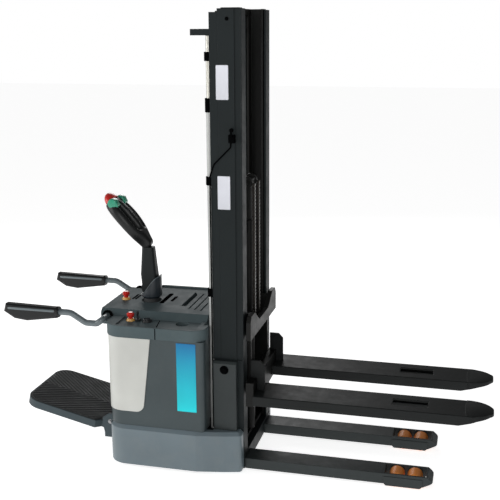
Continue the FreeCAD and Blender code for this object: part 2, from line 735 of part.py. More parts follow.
DECK_SLOTS = [
    # name, middle x from the steering axis, width, low y, high y, depth below the crown
    ("long slot", 69, 15, -48, 128, 14),
    ("short slot", 112, 10, 0, 82, 10),
    ("vent", 200, 26, -69, 216, 22),
    ("slit a", 241, 7, -111, 167, 9),
    ("slit b", 276, 7, -120, 136, 9),
    ("slit c", 311, 7, -128, 10, 9),
    ("rear slit a", -90, 6, -8, 74, 9),
    ("rear slit b", -104, 6, -8, 74, 9),
]


def stop_buttons():
    """Red mushroom buttons on the right-hand shelf and on the console's nose."""
    heads = []
    shelf = s.deck_rim - s.shelf_drop
    for x, y, floor in ((s.button_x, s.button_y, shelf),
                        (s.nose_button_x, s.nose_button_y, s.deck_crown)):
        stem = rod("Z", (x, y, floor + 12), 12, s.button_radius - 8)
        head = taper((x, y, floor + 24), 12, s.button_radius - 2, s.button_radius)
        dome = taper((x, y, floor + 36), 8, s.button_radius, s.button_radius - 9)
        heads.append(fuse(stem, head, dome))
    keep(group(*heads), "stop_buttons")
    collars = [taper((s.button_x, s.button_y, shelf), 12, s.button_radius + 3, s.button_radius - 3),
               taper((s.nose_button_x, s.nose_button_y, s.deck_crown), 12, s.button_radius + 3,
                     s.button_radius - 3)]
    keep(group(*collars), "button_collars")


def key_and_gauge():
    """Key switch and a round charge gauge beside the shelf's stop button."""
    shelf = s.deck_rim - s.shelf_drop
    barrel = rod("Z", (s.key_x, s.button_y, shelf), 12, 15)
    blade = solid_box((s.key_x - 4, s.button_y - 3, shelf + 12),
                      (s.key_x + 4, s.button_y + 3, shelf + 36))
    bow = rod("X", (s.key_x - 3, s.button_y, shelf + 40), 6, 11)
    gauge = taper((s.gauge_x, s.button_y, shelf), 12, 26, 21)
    keep(group(fuse(barrel, blade, bow), gauge), "key_and_gauge")


def outer_column(side, sign):
    """Channel column of the fixed mast, open inwards, with a shallow groove outside."""
    body = doc.addObject("PartDesign::Body", "Outer_" + side)
    doc.recompute()
    plan = sketch_on(body, "XY_Plane", s.beam_top)
    face = sign * s.column_half
    web = sign * (s.column_half - s.column_wall)
    lip = sign * (s.column_half - s.column_flange)
    outline(plan, [
        (s.column_rear, face), (s.column_front, face), (s.column_front, lip),
        (s.column_front - s.column_wall, lip), (s.column_front - s.column_wall, web),
        (s.column_rear + s.column_wall, web), (s.column_rear + s.column_wall, lip),
        (s.column_rear, lip),
    ])
    pad(body, plan, s.column_top - s.beam_top)
    groove = sketch_on(body, "XY_Plane", s.column_top + 1)
    rectangle(groove, s.column_front - 34, s.column_front - 7,
              sign * (s.column_half - 5), sign * (s.column_half + 1))
    pocket(body, groove, s.column_top - s.bracket_top)
    return body


def outer_ties():
    """Cross ties behind the fixed columns."""
    ties = []
    for top in (s.column_top - 11, s.bracket_top - 60):
        half = s.column_half - 12 - s.face_gap
        ties.append(solid_box((s.column_rear - 12, -half, top - s.tie_height),
                              (s.column_rear, half, top)))
    keep(group(*ties), "outer_mast_ties")


def mast_brackets():
    """Side plates that tie the fixed columns to the chassis, with a hex socket near the top."""
    plates = []
    for side, sign in SIDES:
        plate = doc.addObject("PartDesign::Body", "Bracket_" + side)
        doc.recompute()
        view = sketch_on(plate, "XZ_Plane", -sign * s.column_half)
        rectangle(view, s.bracket_rear, s.bracket_front, s.ledge_top, s.bracket_top)
        pad(plate, view, s.bracket_half - s.column_half, flip=sign > 0)
        face = sign * s.bracket_half
        top = edges_at(plate.Tip.Shape, "X", [(face, s.bracket_top)])
        soften(plate, "Chamfer", top, 11)
        corners = edges_at(plate.Tip.Shape, "Z", [(s.bracket_front, face), (s.bracket_rear, face)])
        soften(plate, "Fillet", corners, 5)
        socket = sketch_on(plate, "XZ_Plane", -face)
        middle = (s.bracket_rear + s.bracket_front) / 2
        level = s.bracket_top - 34
        outline(socket, [(middle + reach * math.cos(math.radians(60 * i)),
                          level + reach * math.sin(math.radians(60 * i)))
                         for reach in (11,) for i in range(6)])
        pocket(plate, socket, 9, flip=sign > 0)
        plates.append(plate)
    keep(group(*plates), "mast_brackets")


def limit_switch():
    """Switch block on the right-hand column's face, with its roller lever, and its cable."""
    face = -s.column_half
    case = solid_box((s.switch_x - 17, face - 20, s.switch_z - 26),
                     (s.switch_x + 13, face, s.switch_z + 12))
    hub = rod("Y", (s.switch_x - 2, face - 26, s.switch_z), 8, 9)
    lever = solid_box((s.switch_x - 6, face - 26, s.switch_z),
                      (s.switch_x + 2, face - 21, s.switch_z + 34))
    roller = rod("Y", (s.switch_x - 2, face - 26, s.switch_z + 34), 14, 9)
    keep(fuse(case, hub, lever, roller), "limit_switch")
    y = face - s.cable_radius - s.face_gap
    route = [
        (s.switch_x - 10, y, s.switch_z - 26 - s.face_gap),
        (s.switch_x - 10, y, s.switch_z - 48),
        (s.switch_x - 94, y, s.switch_z - 132),
        (s.strip_rear - s.cable_radius - s.face_gap, y, s.switch_z - 190),
        (s.strip_rear - s.cable_radius - s.face_gap, y, s.ledge_top + s.face_gap),
    ]
    bends = [as_size(14), as_size(40), as_size(40)]
    keep(shaped(bent_tube(route, bends, s.cable_radius), "Cable"), "switch_cable")


def lift_cylinders():
    """Side lift cylinders: tubes with heads, open for their rods."""
    rams = []
    for side, sign in SIDES:
        place = (s.ram_x, sign * s.ram_half)
        tube = rod("Z", (*place, s.plate_top), s.ram_top - s.plate_top, s.ram_radius)
        head = rod("Z", (*place, s.ram_top - s.ram_head_height), s.ram_head_height,
                   s.ram_head_radius)
        bore = rod("Z", (*place, s.plate_top + 20), s.ram_top, s.rod_radius + s.rod_gap)
        rams.append(cut(fuse(tube, head), bore))
    keep(group(*rams), "lift_cylinders")


def duct_plate():
    """Narrow plate behind the right-hand column that screens the hoses."""
    plate = solid_box((s.strip_rear, -s.column_half, s.bracket_top),
                      (s.column_rear, s.strip_thick - s.column_half, s.strip_top))
    keep(fuse(plate, solid_box((s.column_rear - 3, -s.column_half, s.bracket_top),
                               (s.column_rear, 12 - s.column_half, s.strip_top))), "duct_plate")


def inner_masses():
    """The traction battery and the pump unit, as plain blocks inside the cover."""
    battery = solid_box((s.cover_recess - 225, -305, s.plate_top),
                        (s.cover_recess - 15, 95, 560))
    keep(group(battery), "battery")
    pump = solid_box((s.cover_recess - 195, 115, s.plate_top),
                     (s.cover_recess - 15, 305, 520))
    keep(group(pump), "pump_unit")


def hinge_ears():
    """The two ears behind the skirt and the pin between them that carries the platform."""
    ears = []
    for side, sign in SIDES:
        ear = doc.addObject("PartDesign::Body", "Ear_" + side)
        doc.recompute()
        middle = sign * (s.ear_inner + s.ear_thick / 2)
        view = sketch_on(ear, "XZ_Plane", -middle)
        outline(view, [
            (s.skirt_rear, s.ear_bottom), (s.skirt_rear, s.ear_top),
            (s.ear_rear + 34, s.ear_top), (s.ear_rear, s.ear_top - 24),
            (s.ear_rear, s.ear_bottom + 65), (s.ear_rear + 9, s.ear_bottom + 26),
            (s.ear_rear + 9, s.ear_bottom),
        ])
        pad(ear, view, s.ear_thick, symmetric=True)
        ears.append(ear)
    reach = s.ear_inner + s.ear_thick
    pin = rod("Y", (s.platform_pin_x, -reach - 6, s.platform_pin_z), reach * 2 + 12,
              s.platform_pin_radius)
    keep(fuse(pin, *ears), "platform_hinge")


# Moving mast and carriage

def inner_column(side, sign):
    """Channel column of the lifting mast, nested in the fixed one and open inwards."""
    body = doc.addObject("PartDesign::Body", "Inner_" + side)
    doc.recompute()
    plan = sketch_on(body, "XY_Plane", s.inner_bottom)
    face = sign * s.inner_half
    web = sign * (s.inner_half - s.column_wall)
    lip = sign * (s.inner_half - s.inner_flange)
    outline(plan, [
        (s.inner_rear, face), (s.inner_front, face), (s.inner_front, lip),
        (s.inner_front - s.column_wall, lip), (s.inner_front - s.column_wall, web),
        (s.inner_rear + s.column_wall, web), (s.inner_rear + s.column_wall, lip),
        (s.inner_rear, lip),
    ])
    pad(body, plan, s.inner_top - s.inner_bottom)
    return body


def inner_ties():
    """Top tie and bottom tie of the lifting mast; the bottom one seats the cylinder."""
    half = s.inner_half - s.inner_flange
    top = solid_box((s.inner_rear, -half, s.inner_top - 30), (s.inner_rear + 12, half, s.inner_top))
    web = s.inner_half - s.column_wall
    bottom = solid_box((s.inner_rear + 12, -web, s.inner_bottom),
                       (s.inner_front - 12, web, s.inner_bottom + 20))
    keep(group(top, bottom), "inner_mast_ties")


def lift_beam():
    """Beam behind the mast that the side rods push up, hooked over the fixed top tie."""
    bar = solid_box((s.beam_back, -s.lift_beam_half, s.lift_beam_bottom),
                    (s.beam_front, s.lift_beam_half, s.lift_beam_bottom + s.lift_beam_height))
    post = solid_box((s.beam_front - 12, -115, s.lift_beam_bottom),
                     (s.beam_front, 115, s.inner_top))
    hook = solid_box((s.beam_front - 12, -115, s.inner_top - 9),
                     (s.inner_rear, 115, s.inner_top))
    keep(fuse(bar, post, hook), "lift_beam")


def lift_rods():
    """Chromed rods of the side lift cylinders."""
    rods = []
    for side, sign in SIDES:
        start = s.ram_top - s.rod_in_tube
        rods.append(rod("Z", (s.ram_x, sign * s.ram_half, start), s.lift_beam_bottom - start,
                        s.rod_radius))
    keep(group(*rods), "lift_rods")


def free_lift_cylinder():
    """Middle cylinder standing on the lifting mast's bottom tie, with its chain anchor."""
    foot = s.inner_bottom + 20
    tube = rod("Z", (s.free_x, 0, foot), s.free_top - foot, s.free_radius)
    anchor = solid_box((s.free_x - s.sheave_radius - 9, -s.chain_half - 14, s.rear_anchor - 30),
                       (s.free_x - 5, s.chain_half + 14, s.rear_anchor))
    bore = rod("Z", (s.free_x, 0, foot + 20), s.free_top, s.free_rod_radius + s.rod_gap)
    keep(cut(fuse(tube, anchor), bore), "free_lift_cylinder")


def crosshead():
    """Yoke on the free-lift rod with a chain wheel at each side."""
    yoke = solid_box((s.free_x - s.yoke_length / 2, -s.chain_half + s.sheave_width / 2 + 2,
                      s.yoke_bottom),
                     (s.free_x + s.yoke_length / 2, s.chain_half - s.sheave_width / 2 - 2,
                      s.yoke_bottom + s.yoke_height))
    start = s.free_top - s.free_rod_in_tube
    stem = rod("Z", (s.free_x, 0, start), s.yoke_bottom - start, s.free_rod_radius)
    axle = rod("Y", (s.free_x, -s.yoke_half, s.sheave_z), s.yoke_half * 2, 12)
    wheels = []
    for side, sign in SIDES:
        start_y = sign * s.chain_half - s.sheave_width / 2
        wheels.append(rod("Y", (s.free_x, start_y, s.sheave_z), s.sheave_width, s.sheave_radius))
    keep(fuse(yoke, stem, axle, *wheels), "crosshead")


def chain_run(x, sign, low, high):
    """A leaf chain's straight run: links along Z, each waisted between its pins."""
    count = max(1, round((high.value - low.value) / s.chain_pitch.value))
    pitch = (high.value - low.value) / count
    half_width = s.chain_width.value / 2
    half_height = s.chain_height.value / 2
    y = sign * s.chain_half.value
    waist = 0.62 * half_height
    points = [(low.value, waist)]
    for i in range(count):
        z = low.value + i * pitch
        points += [(z + 0.2 * pitch, half_height), (z + 0.8 * pitch, half_height),
                   (z + pitch, waist)]
    right = [FreeCAD.Vector(x.value + reach, y - half_width, z) for z, reach in points]
    left = [FreeCAD.Vector(x.value - reach, y - half_width, z) for z, reach in reversed(points)]
    ring = Part.makePolygon(right + left + [right[0]])
    return Part.Face(ring).extrude(FreeCAD.Vector(0, half_width * 2, 0))


def chains():
    """Front runs down to the carriage and rear runs down to the fixed anchor."""
    reach = s.sheave_radius + s.chain_height / 2 + s.face_gap
    fronts = [shaped(chain_run(s.free_x + reach, sign, s.chain_anchor, s.sheave_z), "Chain")
              for side, sign in SIDES]
    keep(group(*fronts), "front_chains")
    rears = [shaped(chain_run(s.free_x - reach, sign, s.rear_anchor, s.sheave_z), "Chain")
             for side, sign in SIDES]
    keep(group(*rears), "rear_chains")


def carriage():
    """Fork carriage: two cross bars and two uprights with rollers in the lifting mast."""
    notch_top = s.leg_top + s.leg_clear + s.carriage_drop
    inner = s.leg_y - s.leg_width / 2 - s.leg_clear
    outer = s.leg_y + s.leg_width / 2 + s.leg_clear
    lower = doc.addObject("PartDesign::Body", "Lower_bar")
    doc.recompute()
    view = sketch_on(lower, "YZ_Plane", s.bar_rear)
    half = s.lower_bar_half
    low = s.lower_bar_bottom
    outline(view, [
        (-half, low), (-outer, low), (-outer, notch_top), (-inner, notch_top), (-inner, low),
        (inner, low), (inner, notch_top), (outer, notch_top), (outer, low), (half, low),
        (half, s.lower_bar_top), (-half, s.lower_bar_top),
    ])
    pad(lower, view, s.lower_bar_front - s.bar_rear)
    upper = doc.addObject("PartDesign::Body", "Upper_bar")
    doc.recompute()
    view = sketch_on(upper, "YZ_Plane", s.bar_rear)
    half = s.upper_bar_half
    outline(view, [
        (-half, s.upper_bar_bottom), (half, s.upper_bar_bottom), (half, s.upper_bar_end_top - 30),
        (half - 20, s.upper_bar_end_top), (half - 90, s.upper_bar_end_top),
        (half * 0.35, s.upper_bar_mid_top), (-0.35 * half, s.upper_bar_mid_top),
        (90 - half, s.upper_bar_end_top), (20 - half, s.upper_bar_end_top),
        (-half, s.upper_bar_end_top - 30),
    ])
    pad(upper, view, s.upper_bar_front - s.bar_rear)
    parts = [lower, upper]
    for side, sign in SIDES:
        face = sign * s.upright_half
        back = sign * (s.upright_half - s.upright_thick)
        low_y, high_y = sorted((face, back), key=lambda size: size.value)
        parts.append(solid_box((s.upright_rear, low_y, s.upright_bottom),
                               (s.bar_rear, high_y, s.upright_top)))
        middle_x = (s.inner_rear + s.inner_front) / 2
        for z in (s.upright_bottom + 45, s.upright_top - 45):
            start = face if sign > 0 else face - s.roller_width
            parts.append(rod("Y", (middle_x, start, z), s.roller_width, s.roller_radius))
        lug = solid_box((s.free_x + s.sheave_radius, sign * s.chain_half - 16, s.chain_anchor - 30),
                        (s.bar_rear, sign * s.chain_half + 16, s.chain_anchor))
        parts.append(lug)
    keep(fuse(*parts), "carriage")


def fork(side, sign):
    """A pressed channel fork with a tapered tip, a wheel window and an upright gusset."""
    body = doc.addObject("PartDesign::Body", "Fork_" + side)
    doc.recompute()
    middle = sign * s.fork_y
    half = s.fork_width / 2
    plan = sketch_on(body, "XY_Plane", s.fork_top)
    tip = s.fork_tip_width / 2
    outline(plan, [
        (s.lower_bar_front, middle - half), (s.fork_length - s.fork_taper, middle - half),
        (s.fork_length, middle - tip), (s.fork_length, middle + tip),
        (s.fork_length - s.fork_taper, middle + half), (s.lower_bar_front, middle + half),
    ])
    pad(body, plan, s.fork_depth, flip=True)
    shoulders = [(s.fork_length - s.fork_taper, middle - half),
                 (s.fork_length - s.fork_taper, middle + half)]
    soften(body, "Fillet", edges_at(body.Tip.Shape, "Z", shoulders), 60)
    nose = [(s.fork_length, middle - tip), (s.fork_length, middle + tip)]
    soften(body, "Fillet", edges_at(body.Tip.Shape, "Z", nose), 30)
    toe = sketch_on(body, "XZ_Plane", -middle)
    outline(toe, [
        (s.fork_length + 1, s.fork_top - 16), (s.fork_length + 1, s.fork_top - s.fork_depth - 1),
        (s.fork_length - 165, s.fork_top - s.fork_depth - 1),
        (s.fork_length - 78, s.fork_top - 27),
    ])
    pocket(body, toe, s.fork_width + 2, symmetric=True)
    rim = [(middle - half, s.fork_top), (middle + half, s.fork_top)]
    soften(body, "Fillet", edges_at(body.Tip.Shape, "X", rim), 6)
    under = sketch_on(body, "XY_Plane", s.fork_top - s.fork_skin)
    wall = s.fork_skin
    outline(under, [
        (s.lower_bar_front - 1, middle - half + wall),
        (s.fork_length - s.fork_taper - 10, middle - half + wall),
        (s.fork_length - 60, middle - tip), (s.fork_length - 60, middle + tip),
        (s.fork_length - s.fork_taper - 10, middle + half - wall),
        (s.lower_bar_front - 1, middle + half - wall),
    ])
    pocket(body, under)
    window = sketch_on(body, "XY_Plane", s.fork_top + 1)
    rectangle(window, s.fork_window_start, s.fork_window_start + s.fork_window_length,
              middle - s.fork_window_width / 2, middle + s.fork_window_width / 2)
    pocket(body, window, s.fork_skin + 2)
    gusset = sketch_on(body, "XZ_Plane", -middle)
    crest = s.fork_top + s.gusset_height
    outline(gusset, [
        (s.lower_bar_front, s.fork_top - 1), (s.gusset_reach, s.fork_top - 1),
        (s.gusset_reach, crest - 26), (s.gusset_reach - 25, crest),
        (s.bar_rear + 6, crest), (s.bar_rear + 6, s.lower_bar_top),
        (s.lower_bar_front, s.lower_bar_top),
    ])
    pad(body, gusset, s.gusset_thick, symmetric=True)
    return body


# Steering, drive and casters

def drive_unit():
    """Turntable, traction motor and the gear leg that carries the drive wheel."""
    seat = s.plate_top + s.face_gap
    disc = rod("Z", (s.steer_x, 0, seat), 24, s.turntable_radius)
    well = rod("Z", (s.steer_x, 0, seat - 1), 22, s.turntable_radius - 24)
    motor = rod("Z", (s.steer_x, 0, seat + 24), s.motor_top - seat - 24, s.motor_radius)
    shaft = rod("Z", (s.steer_x, 0, s.motor_top), s.cup_bottom - s.motor_top, 22)
    inner = s.drive_width / 2 + 6
    leg = solid_box((s.steer_x - 44, inner, s.drive_radius - 50),
                    (s.steer_x + 44, inner + 34, seat + 10))
    stub = rod("Y", (s.steer_x, -s.drive_width / 2 - 4, s.drive_radius),
               s.drive_width / 2 + 4 + inner + 4, 20)
    keep(fuse(cut(disc, well), motor, shaft, leg, stub), "drive_unit")


def wheel(label, x, y, radius, width, bore, groove):
    """A tyred wheel turned about its axle: hub, web recess and a rounded tread."""
    body = new_body(label)
    section = sketch_on(body, "YZ_Plane", x)
    half = width / 2
    r = as_size(radius)
    web = r * 0.72
    outline(section, [
        (y - half, r + bore), (y - half, r + bore + 8), (y - half + groove, r + bore + 8),
        (y - half + groove, r + web), (y - half, r + web),
        (y - half, r * 2 - 3), (y - half + 3, r * 2),
        (y + half - 3, r * 2), (y + half, r * 2 - 3),
        (y + half, r + web), (y + half - groove, r + web),
        (y + half - groove, r + bore + 8), (y + half, r + bore + 8), (y + half, r + bore),
    ])
    axis = sketch_on(body, "YZ_Plane", x)
    line = axis.addGeometry(Part.LineSegment(vec(y, r, 0), vec(y + 100, r, 0)), False)
    pin_down(axis, line, 1, y, r)
    pin_down(axis, line, 2, y + 100, r)
    turned = body.newObject("PartDesign::Revolution", "Turned")
    turned.Profile = section
    turned.ReferenceAxis = (axis, ["Edge1"])
    turned.Angle = 360
    doc.recompute()


def caster_fork(side, sign):
    """A caster's stem, crown and two cheeks with the axle between them."""
    y = sign * s.caster_half
    axle_x = s.caster_x - s.caster_trail
    crown_top = s.plate_bottom - s.face_gap
    crown = rod("Z", (s.caster_x, y, crown_top - 8), 8, 46)
    stem = rod("Z", (s.caster_x, y, crown_top - 4), s.plate_top - crown_top + 14, s.stem_radius)
    gap = s.caster_width / 2 + 5
    parts = [crown, stem]
    for face in (-1, 1):
        cheek = doc.addObject("PartDesign::Body", "Cheek")
        doc.recompute()
        middle = y + face * (gap + 3)
        view = sketch_on(cheek, "XZ_Plane", -middle)
        outline(view, [
            (s.caster_x - 40, crown_top - 6), (s.caster_x + 34, crown_top - 6),
            (axle_x + 18, s.caster_radius - 6), (axle_x + 8, s.caster_radius - 18),
            (axle_x - 8, s.caster_radius - 18), (axle_x - 18, s.caster_radius - 6),
        ])
        pad(cheek, view, 6, symmetric=True)
        parts.append(cheek)
    parts.append(rod("Y", (axle_x, y - gap - 10, s.caster_radius), gap * 2 + 20, 8))
    keep(fuse(*parts), "caster_fork_" + side)


def tiller_cup():
    """Rubber boot and the cup whose sloping rim lets the tiller lean to the operator."""
    boot = taper((s.steer_x, 0, s.deck_crown - 20), s.cup_bottom - s.deck_crown + 20,
                 s.boot_radius, s.boot_radius - 6)
    keep(cut(boot, rod("Z", (s.steer_x, 0, s.deck_crown - 21), 80, 22.2)), "tiller_boot")
    cup = rod("Z", (s.steer_x, 0, s.cup_bottom), s.cup_front_top - s.cup_bottom, s.cup_radius)
    hollow = rod("Z", (s.steer_x, 0, s.tiller_pivot - s.tiller_low_depth / 2 + 10), 200,
                 s.cup_radius - s.cup_wall)
    floor_well = rod("Y", (s.steer_x, -s.tiller_low_width / 2 - 5, s.tiller_pivot),
                     s.tiller_low_width + 10, s.tiller_low_depth / 2 + 5)
    slope = doc.addObject("PartDesign::Body", "Rim_slope")
    doc.recompute()
    view = sketch_on(slope, "XZ_Plane", 0)
    outline(view, [
        (s.steer_x - s.cup_radius - 2, s.cup_rear_top), (s.steer_x - 10, s.cup_rear_top + 20),
        (s.steer_x + s.cup_radius + 2, s.cup_front_top),
        (s.steer_x + s.cup_radius + 2, s.cup_front_top + 40),
        (s.steer_x - s.cup_radius - 2, s.cup_front_top + 40),
    ])
    pad(slope, view, s.cup_radius * 2 + 20, symmetric=True)
    pin = rod("Y", (s.steer_x, -s.cup_radius + 3, s.tiller_pivot), s.cup_radius * 2 - 6, 9)
    keep(fuse(cut(cut(cut(cup, hollow), floor_well), slope), pin), "tiller_cup")


def tiller_arm():
    """The tiller's lower arm: a round foot on the tilt pin and a tapering shank."""
    low = s.tiller_low_depth.value / 2
    high = s.tiller_neck_depth.value / 2
    foot_z = s.tiller_pivot.value
    x = s.steer_x.value
    sections = [
        # height, set back along X, half depth along X, half width along Y
        (foot_z, 0, low, s.tiller_low_width.value / 2),
        (foot_z + 70, 7, low - 1, s.tiller_low_width.value / 2),
        (s.tiller_neck.value, 9, high, s.tiller_neck_width.value / 2),
    ]
    rings = [rounded_ring(x - back, z, depth, width, 16) for z, back, depth, width in sections]
    shank = Part.makeLoft(rings, True, True)
    foot = Part.makeCylinder(low, s.tiller_low_width.value,
                             FreeCAD.Vector(x, -s.tiller_low_width.value / 2, foot_z),
                             FreeCAD.Vector(0, 1, 0))
    bore = Part.makeCylinder(9 + s.running_gap.value, 200, FreeCAD.Vector(x, -100, foot_z),
                             FreeCAD.Vector(0, 1, 0))
    keep(shaped(shank.fuse(foot).cut(bore).removeSplitter(), "Tiller_arm"), "tiller_arm")


def rounded_ring(x, z, depth, width, radius):
    """A rectangle with round corners, level at height z."""
    corners = [(1, 1), (-1, 1), (-1, -1), (1, -1)]
    edges = []
    ends = []
    for number, (a, b) in enumerate(corners):
        centre = FreeCAD.Vector(x + a * (depth - radius), b * (width - radius), z)
        start = math.radians(90 * number)
        places = [centre + FreeCAD.Vector(math.cos(start + turn), math.sin(start + turn), 0) * radius
                  for turn in (0, math.pi / 4, math.pi / 2)]
        ends.append(places)
    for number, places in enumerate(ends):
        edges.append(Part.Arc(*places).toShape())
        edges.append(Part.LineSegment(places[2], ends[(number + 1) % 4][0]).toShape())
    return Part.Wire(edges)


def head_place():
    """Where the tiller head's own frame stands: its length runs up along the leaning axis."""
    lean = FreeCAD.Rotation(FreeCAD.Vector(0, 1, 0), -s.head_lean.value)
    upright = FreeCAD.Rotation(FreeCAD.Vector(0, 0, 1), 90) * FreeCAD.Rotation(
        FreeCAD.Vector(1, 0, 0), 90)
    return FreeCAD.Placement(vec(s.steer_x - 8, 0, s.tiller_neck + 10), lean * upright)


def tiller_head():
    """The loop handle: a bellied frame with two finger openings beside its middle pod."""
    half = s.head_width / 2
    end = s.head_length - s.face_gap
    face = doc.addObject("PartDesign::Body", "Head_face")
    doc.recompute()
    plan = sketch_on(face, "XY_Plane", 0)
    outline(plan, [
        (-26, -12), (26, -12), (half - 16, 55), (half, 120), (half, end - 66),
        (half - 42, end), (42 - half, end), (-half, end - 66), (-half, 120), (16 - half, 55),
    ])
    pad(face, plan, s.head_thick * 2, symmetric=True)
    corners = [(half - 16, 55), (16 - half, 55), (half, 120), (-half, 120),
               (half, end - 66), (-half, end - 66), (half - 42, end), (42 - half, end)]
    soften(face, "Fillet", edges_at(face.Tip.Shape, "Z", corners), 24)
    for sign in (-1, 1):
        hole = sketch_on(face, "XY_Plane", s.head_thick + 1)
        inner = sign * 24
        outer = sign * (half - s.head_grip)
        outline(hole, [
            (inner, 92), (outer, 118), (outer, end - 84), (inner, end - 66),
        ])
        pocket(face, hole)
        soften(face, "Fillet", edges_at(face.Tip.Shape, "Z", [
            (inner, 92), (outer, 118), (outer, end - 84), (inner, end - 66)]), 9)
    side = doc.addObject("PartDesign::Body", "Head_side")
    doc.recompute()
    profile = sketch_on(side, "YZ_Plane", 0)
    thick = s.head_thick
    outline(profile, [
        (-14, thick * 0.40), (end * 0.5, thick * 0.46), (end * 0.8, thick * 0.42),
        (end + 1, thick * 0.30), (end + 1, -0.36 * thick), (end * 0.85, -0.40 * thick),
        (end * 0.6, -0.36 * thick), (end * 0.35, -0.32 * thick), (end * 0.15, -0.36 * thick),
        (-14, -0.40 * thick),
    ])
    pad(side, profile, s.head_width + 10, symmetric=True)
    loop = doc.addObject("Part::MultiCommon", "Head_loop")
    loop.Shapes = [face, side]
    loop.Placement = head_place()
    wide = s.tiller_neck_width / 2
    deep = s.tiller_neck_depth / 2
    knuckle = rod("Y", (s.steer_x - 9, -wide, s.tiller_neck + 4), wide * 2, deep)
    below = solid_box((s.steer_x - 120, -wide - 60, s.tiller_neck - 120),
                      (s.steer_x + 120, wide + 60, s.tiller_neck + s.face_gap))
    keep(cut(fuse(loop, knuckle), below), "tiller_head")
    cap = doc.addObject("PartDesign::Body", "Belly_cap")
    doc.recompute()
    plan = sketch_on(cap, "XY_Plane", -4)
    reach = s.belly_width / 2
    top = s.head_length + s.belly_length
    outline(plan, [
        (-reach, s.head_length), (reach, s.head_length), (reach - 4, top - 10),
        (reach - 18, top), (18 - reach, top), (4 - reach, top - 10),
    ])
    pad(cap, plan, s.belly_thick, symmetric=True)
    ridge = []
    for number, edge in enumerate(cap.Tip.Shape.Edges, start=1):
        box = edge.BoundBox
        if box.ZLength < 0.01 and box.YMax > s.head_length.value + 1:
            ridge.append(f"Edge{number}")
    soften(cap, "Fillet", ridge, 12)
    place = head_place()
    cap.Placement = FreeCAD.Placement(place.Base + vec(s.heel_x, 0, 0), place.Rotation)
    cap.Label = "belly_switch"
    nodes.append(cap)


# Rider platform and guard arms

def tilted(piece, label):
    """Turn a piece drawn level about the platform's pin to its parked tilt."""
    piece.Label = label
    turn = FreeCAD.Rotation(FreeCAD.Vector(0, 1, 0), s.platform_tilt.value)
    piece.Placement = FreeCAD.Placement(
        vec(s.platform_pin_x + s.heel_x, 0, s.platform_pin_z), turn)
    nodes.append(piece)


def platform_block(inset, bottom, top):
    """The platform's plan, narrowed between its ears, drawn in by the inset."""
    half = s.platform_half - inset
    neck = s.platform_neck_half - inset
    rear = inset - s.platform_length
    front = s.platform_front - inset
    turn = s.platform_neck - inset
    return block([(front, neck), (turn + 26, neck), (turn, half), (rear, half),
                  (rear, -half), (turn, -half), (turn + 26, -neck), (front, -neck)],
                 bottom, top, [(rear, half), (rear, -half)], s.platform_corner - inset)


def platform():
    """A deep tray with round rear corners, and the barrel that turns on the hinge pin."""
    top = -s.platform_drop
    tray = platform_block(as_size(0), top - s.platform_thick, top)
    neck = s.platform_neck_half
    recess = platform_block(s.mat_margin, top - s.mat_sunk, top + 1)
    hollow = platform_block(as_size(8), top - s.platform_thick - 1, top - 12)
    barrel = rod("Y", (0, -neck, 0), neck * 2, s.platform_pin_radius + 7)
    bore = rod("Y", (0, -neck - 1, 0), neck * 2 + 2, s.platform_pin_radius + s.running_gap)
    tilted(cut(fuse(cut(cut(tray, recess), hollow), barrel), bore), "platform")
    mat = platform_block(s.mat_margin + s.face_gap, top - s.mat_sunk + s.face_gap,
                         top + s.mat_proud)
    slot = solid_box((-20 - s.platform_pin_radius, -neck - 1, top - s.mat_sunk - 1),
                     (s.platform_front + 1, neck + 1, top + s.mat_proud + 1))
    tilted(cut(mat, slot), "platform_mat")


def guard_arm(side, sign):
    """A bent tube from its pivot in the console's nose to the grip."""
    y = sign * s.arm_half
    points = [
        (s.arm_pivot_x, sign * (s.console_foot - 40), s.arm_pivot_z),
        (s.arm_pivot_x, y, s.arm_pivot_z),
        (s.arm_pivot_x - 30, y, s.arm_dip),
        (s.arm_pivot_x - 90, y, s.arm_dip),
        (s.arm_pivot_x - 170, y, s.arm_rise),
        (s.grip_start, y, s.arm_rise),
    ]
    bends = [as_size(18), as_size(24), as_size(50), as_size(60)]
    keep(shaped(bent_tube(points, bends, s.arm_radius), "Arm_" + side), "guard_arm_" + side)


def guard_grip(side, sign):
    """A paddle-shaped grip: straight above, bellied below, rounded all over."""
    body = new_body("guard_grip_" + side)
    view = sketch_on(body, "XZ_Plane", -sign * s.arm_half)
    end = s.grip_start - s.grip_length
    outline(view, [
        (s.grip_start, s.arm_rise + s.grip_above), (end + 12, s.arm_rise + s.grip_above + 6),
        (end, s.arm_rise - 12), (end + 60, s.arm_rise - s.grip_below + 8),
        (end + 130, s.arm_rise - s.grip_below), (s.grip_start, s.arm_rise - s.grip_above - 6),
    ])
    pad(body, view, s.grip_thick, symmetric=True)
    lengthwise = []
    for number, edge in enumerate(body.Tip.Shape.Edges, start=1):
        box = edge.BoundBox
        ends = [vertex.X for vertex in edge.Vertexes]
        if box.YLength < 0.01 and max(ends) - min(ends) > 5:
            lengthwise.append(f"Edge{number}")
    soften(body, "Fillet", lengthwise, 14)
    collar = sketch_on(body, "YZ_Plane", s.grip_start - 6)
    circle(collar, sign * s.arm_half, s.arm_rise, s.grip_thick / 2 + 3)
    pad(body, collar, 12)
    eye = sketch_on(body, "YZ_Plane", s.grip_start - 1)
    circle(eye, sign * s.arm_half, s.arm_rise, s.arm_radius + 0.3)
    pocket(body, eye, 20, flip=True)


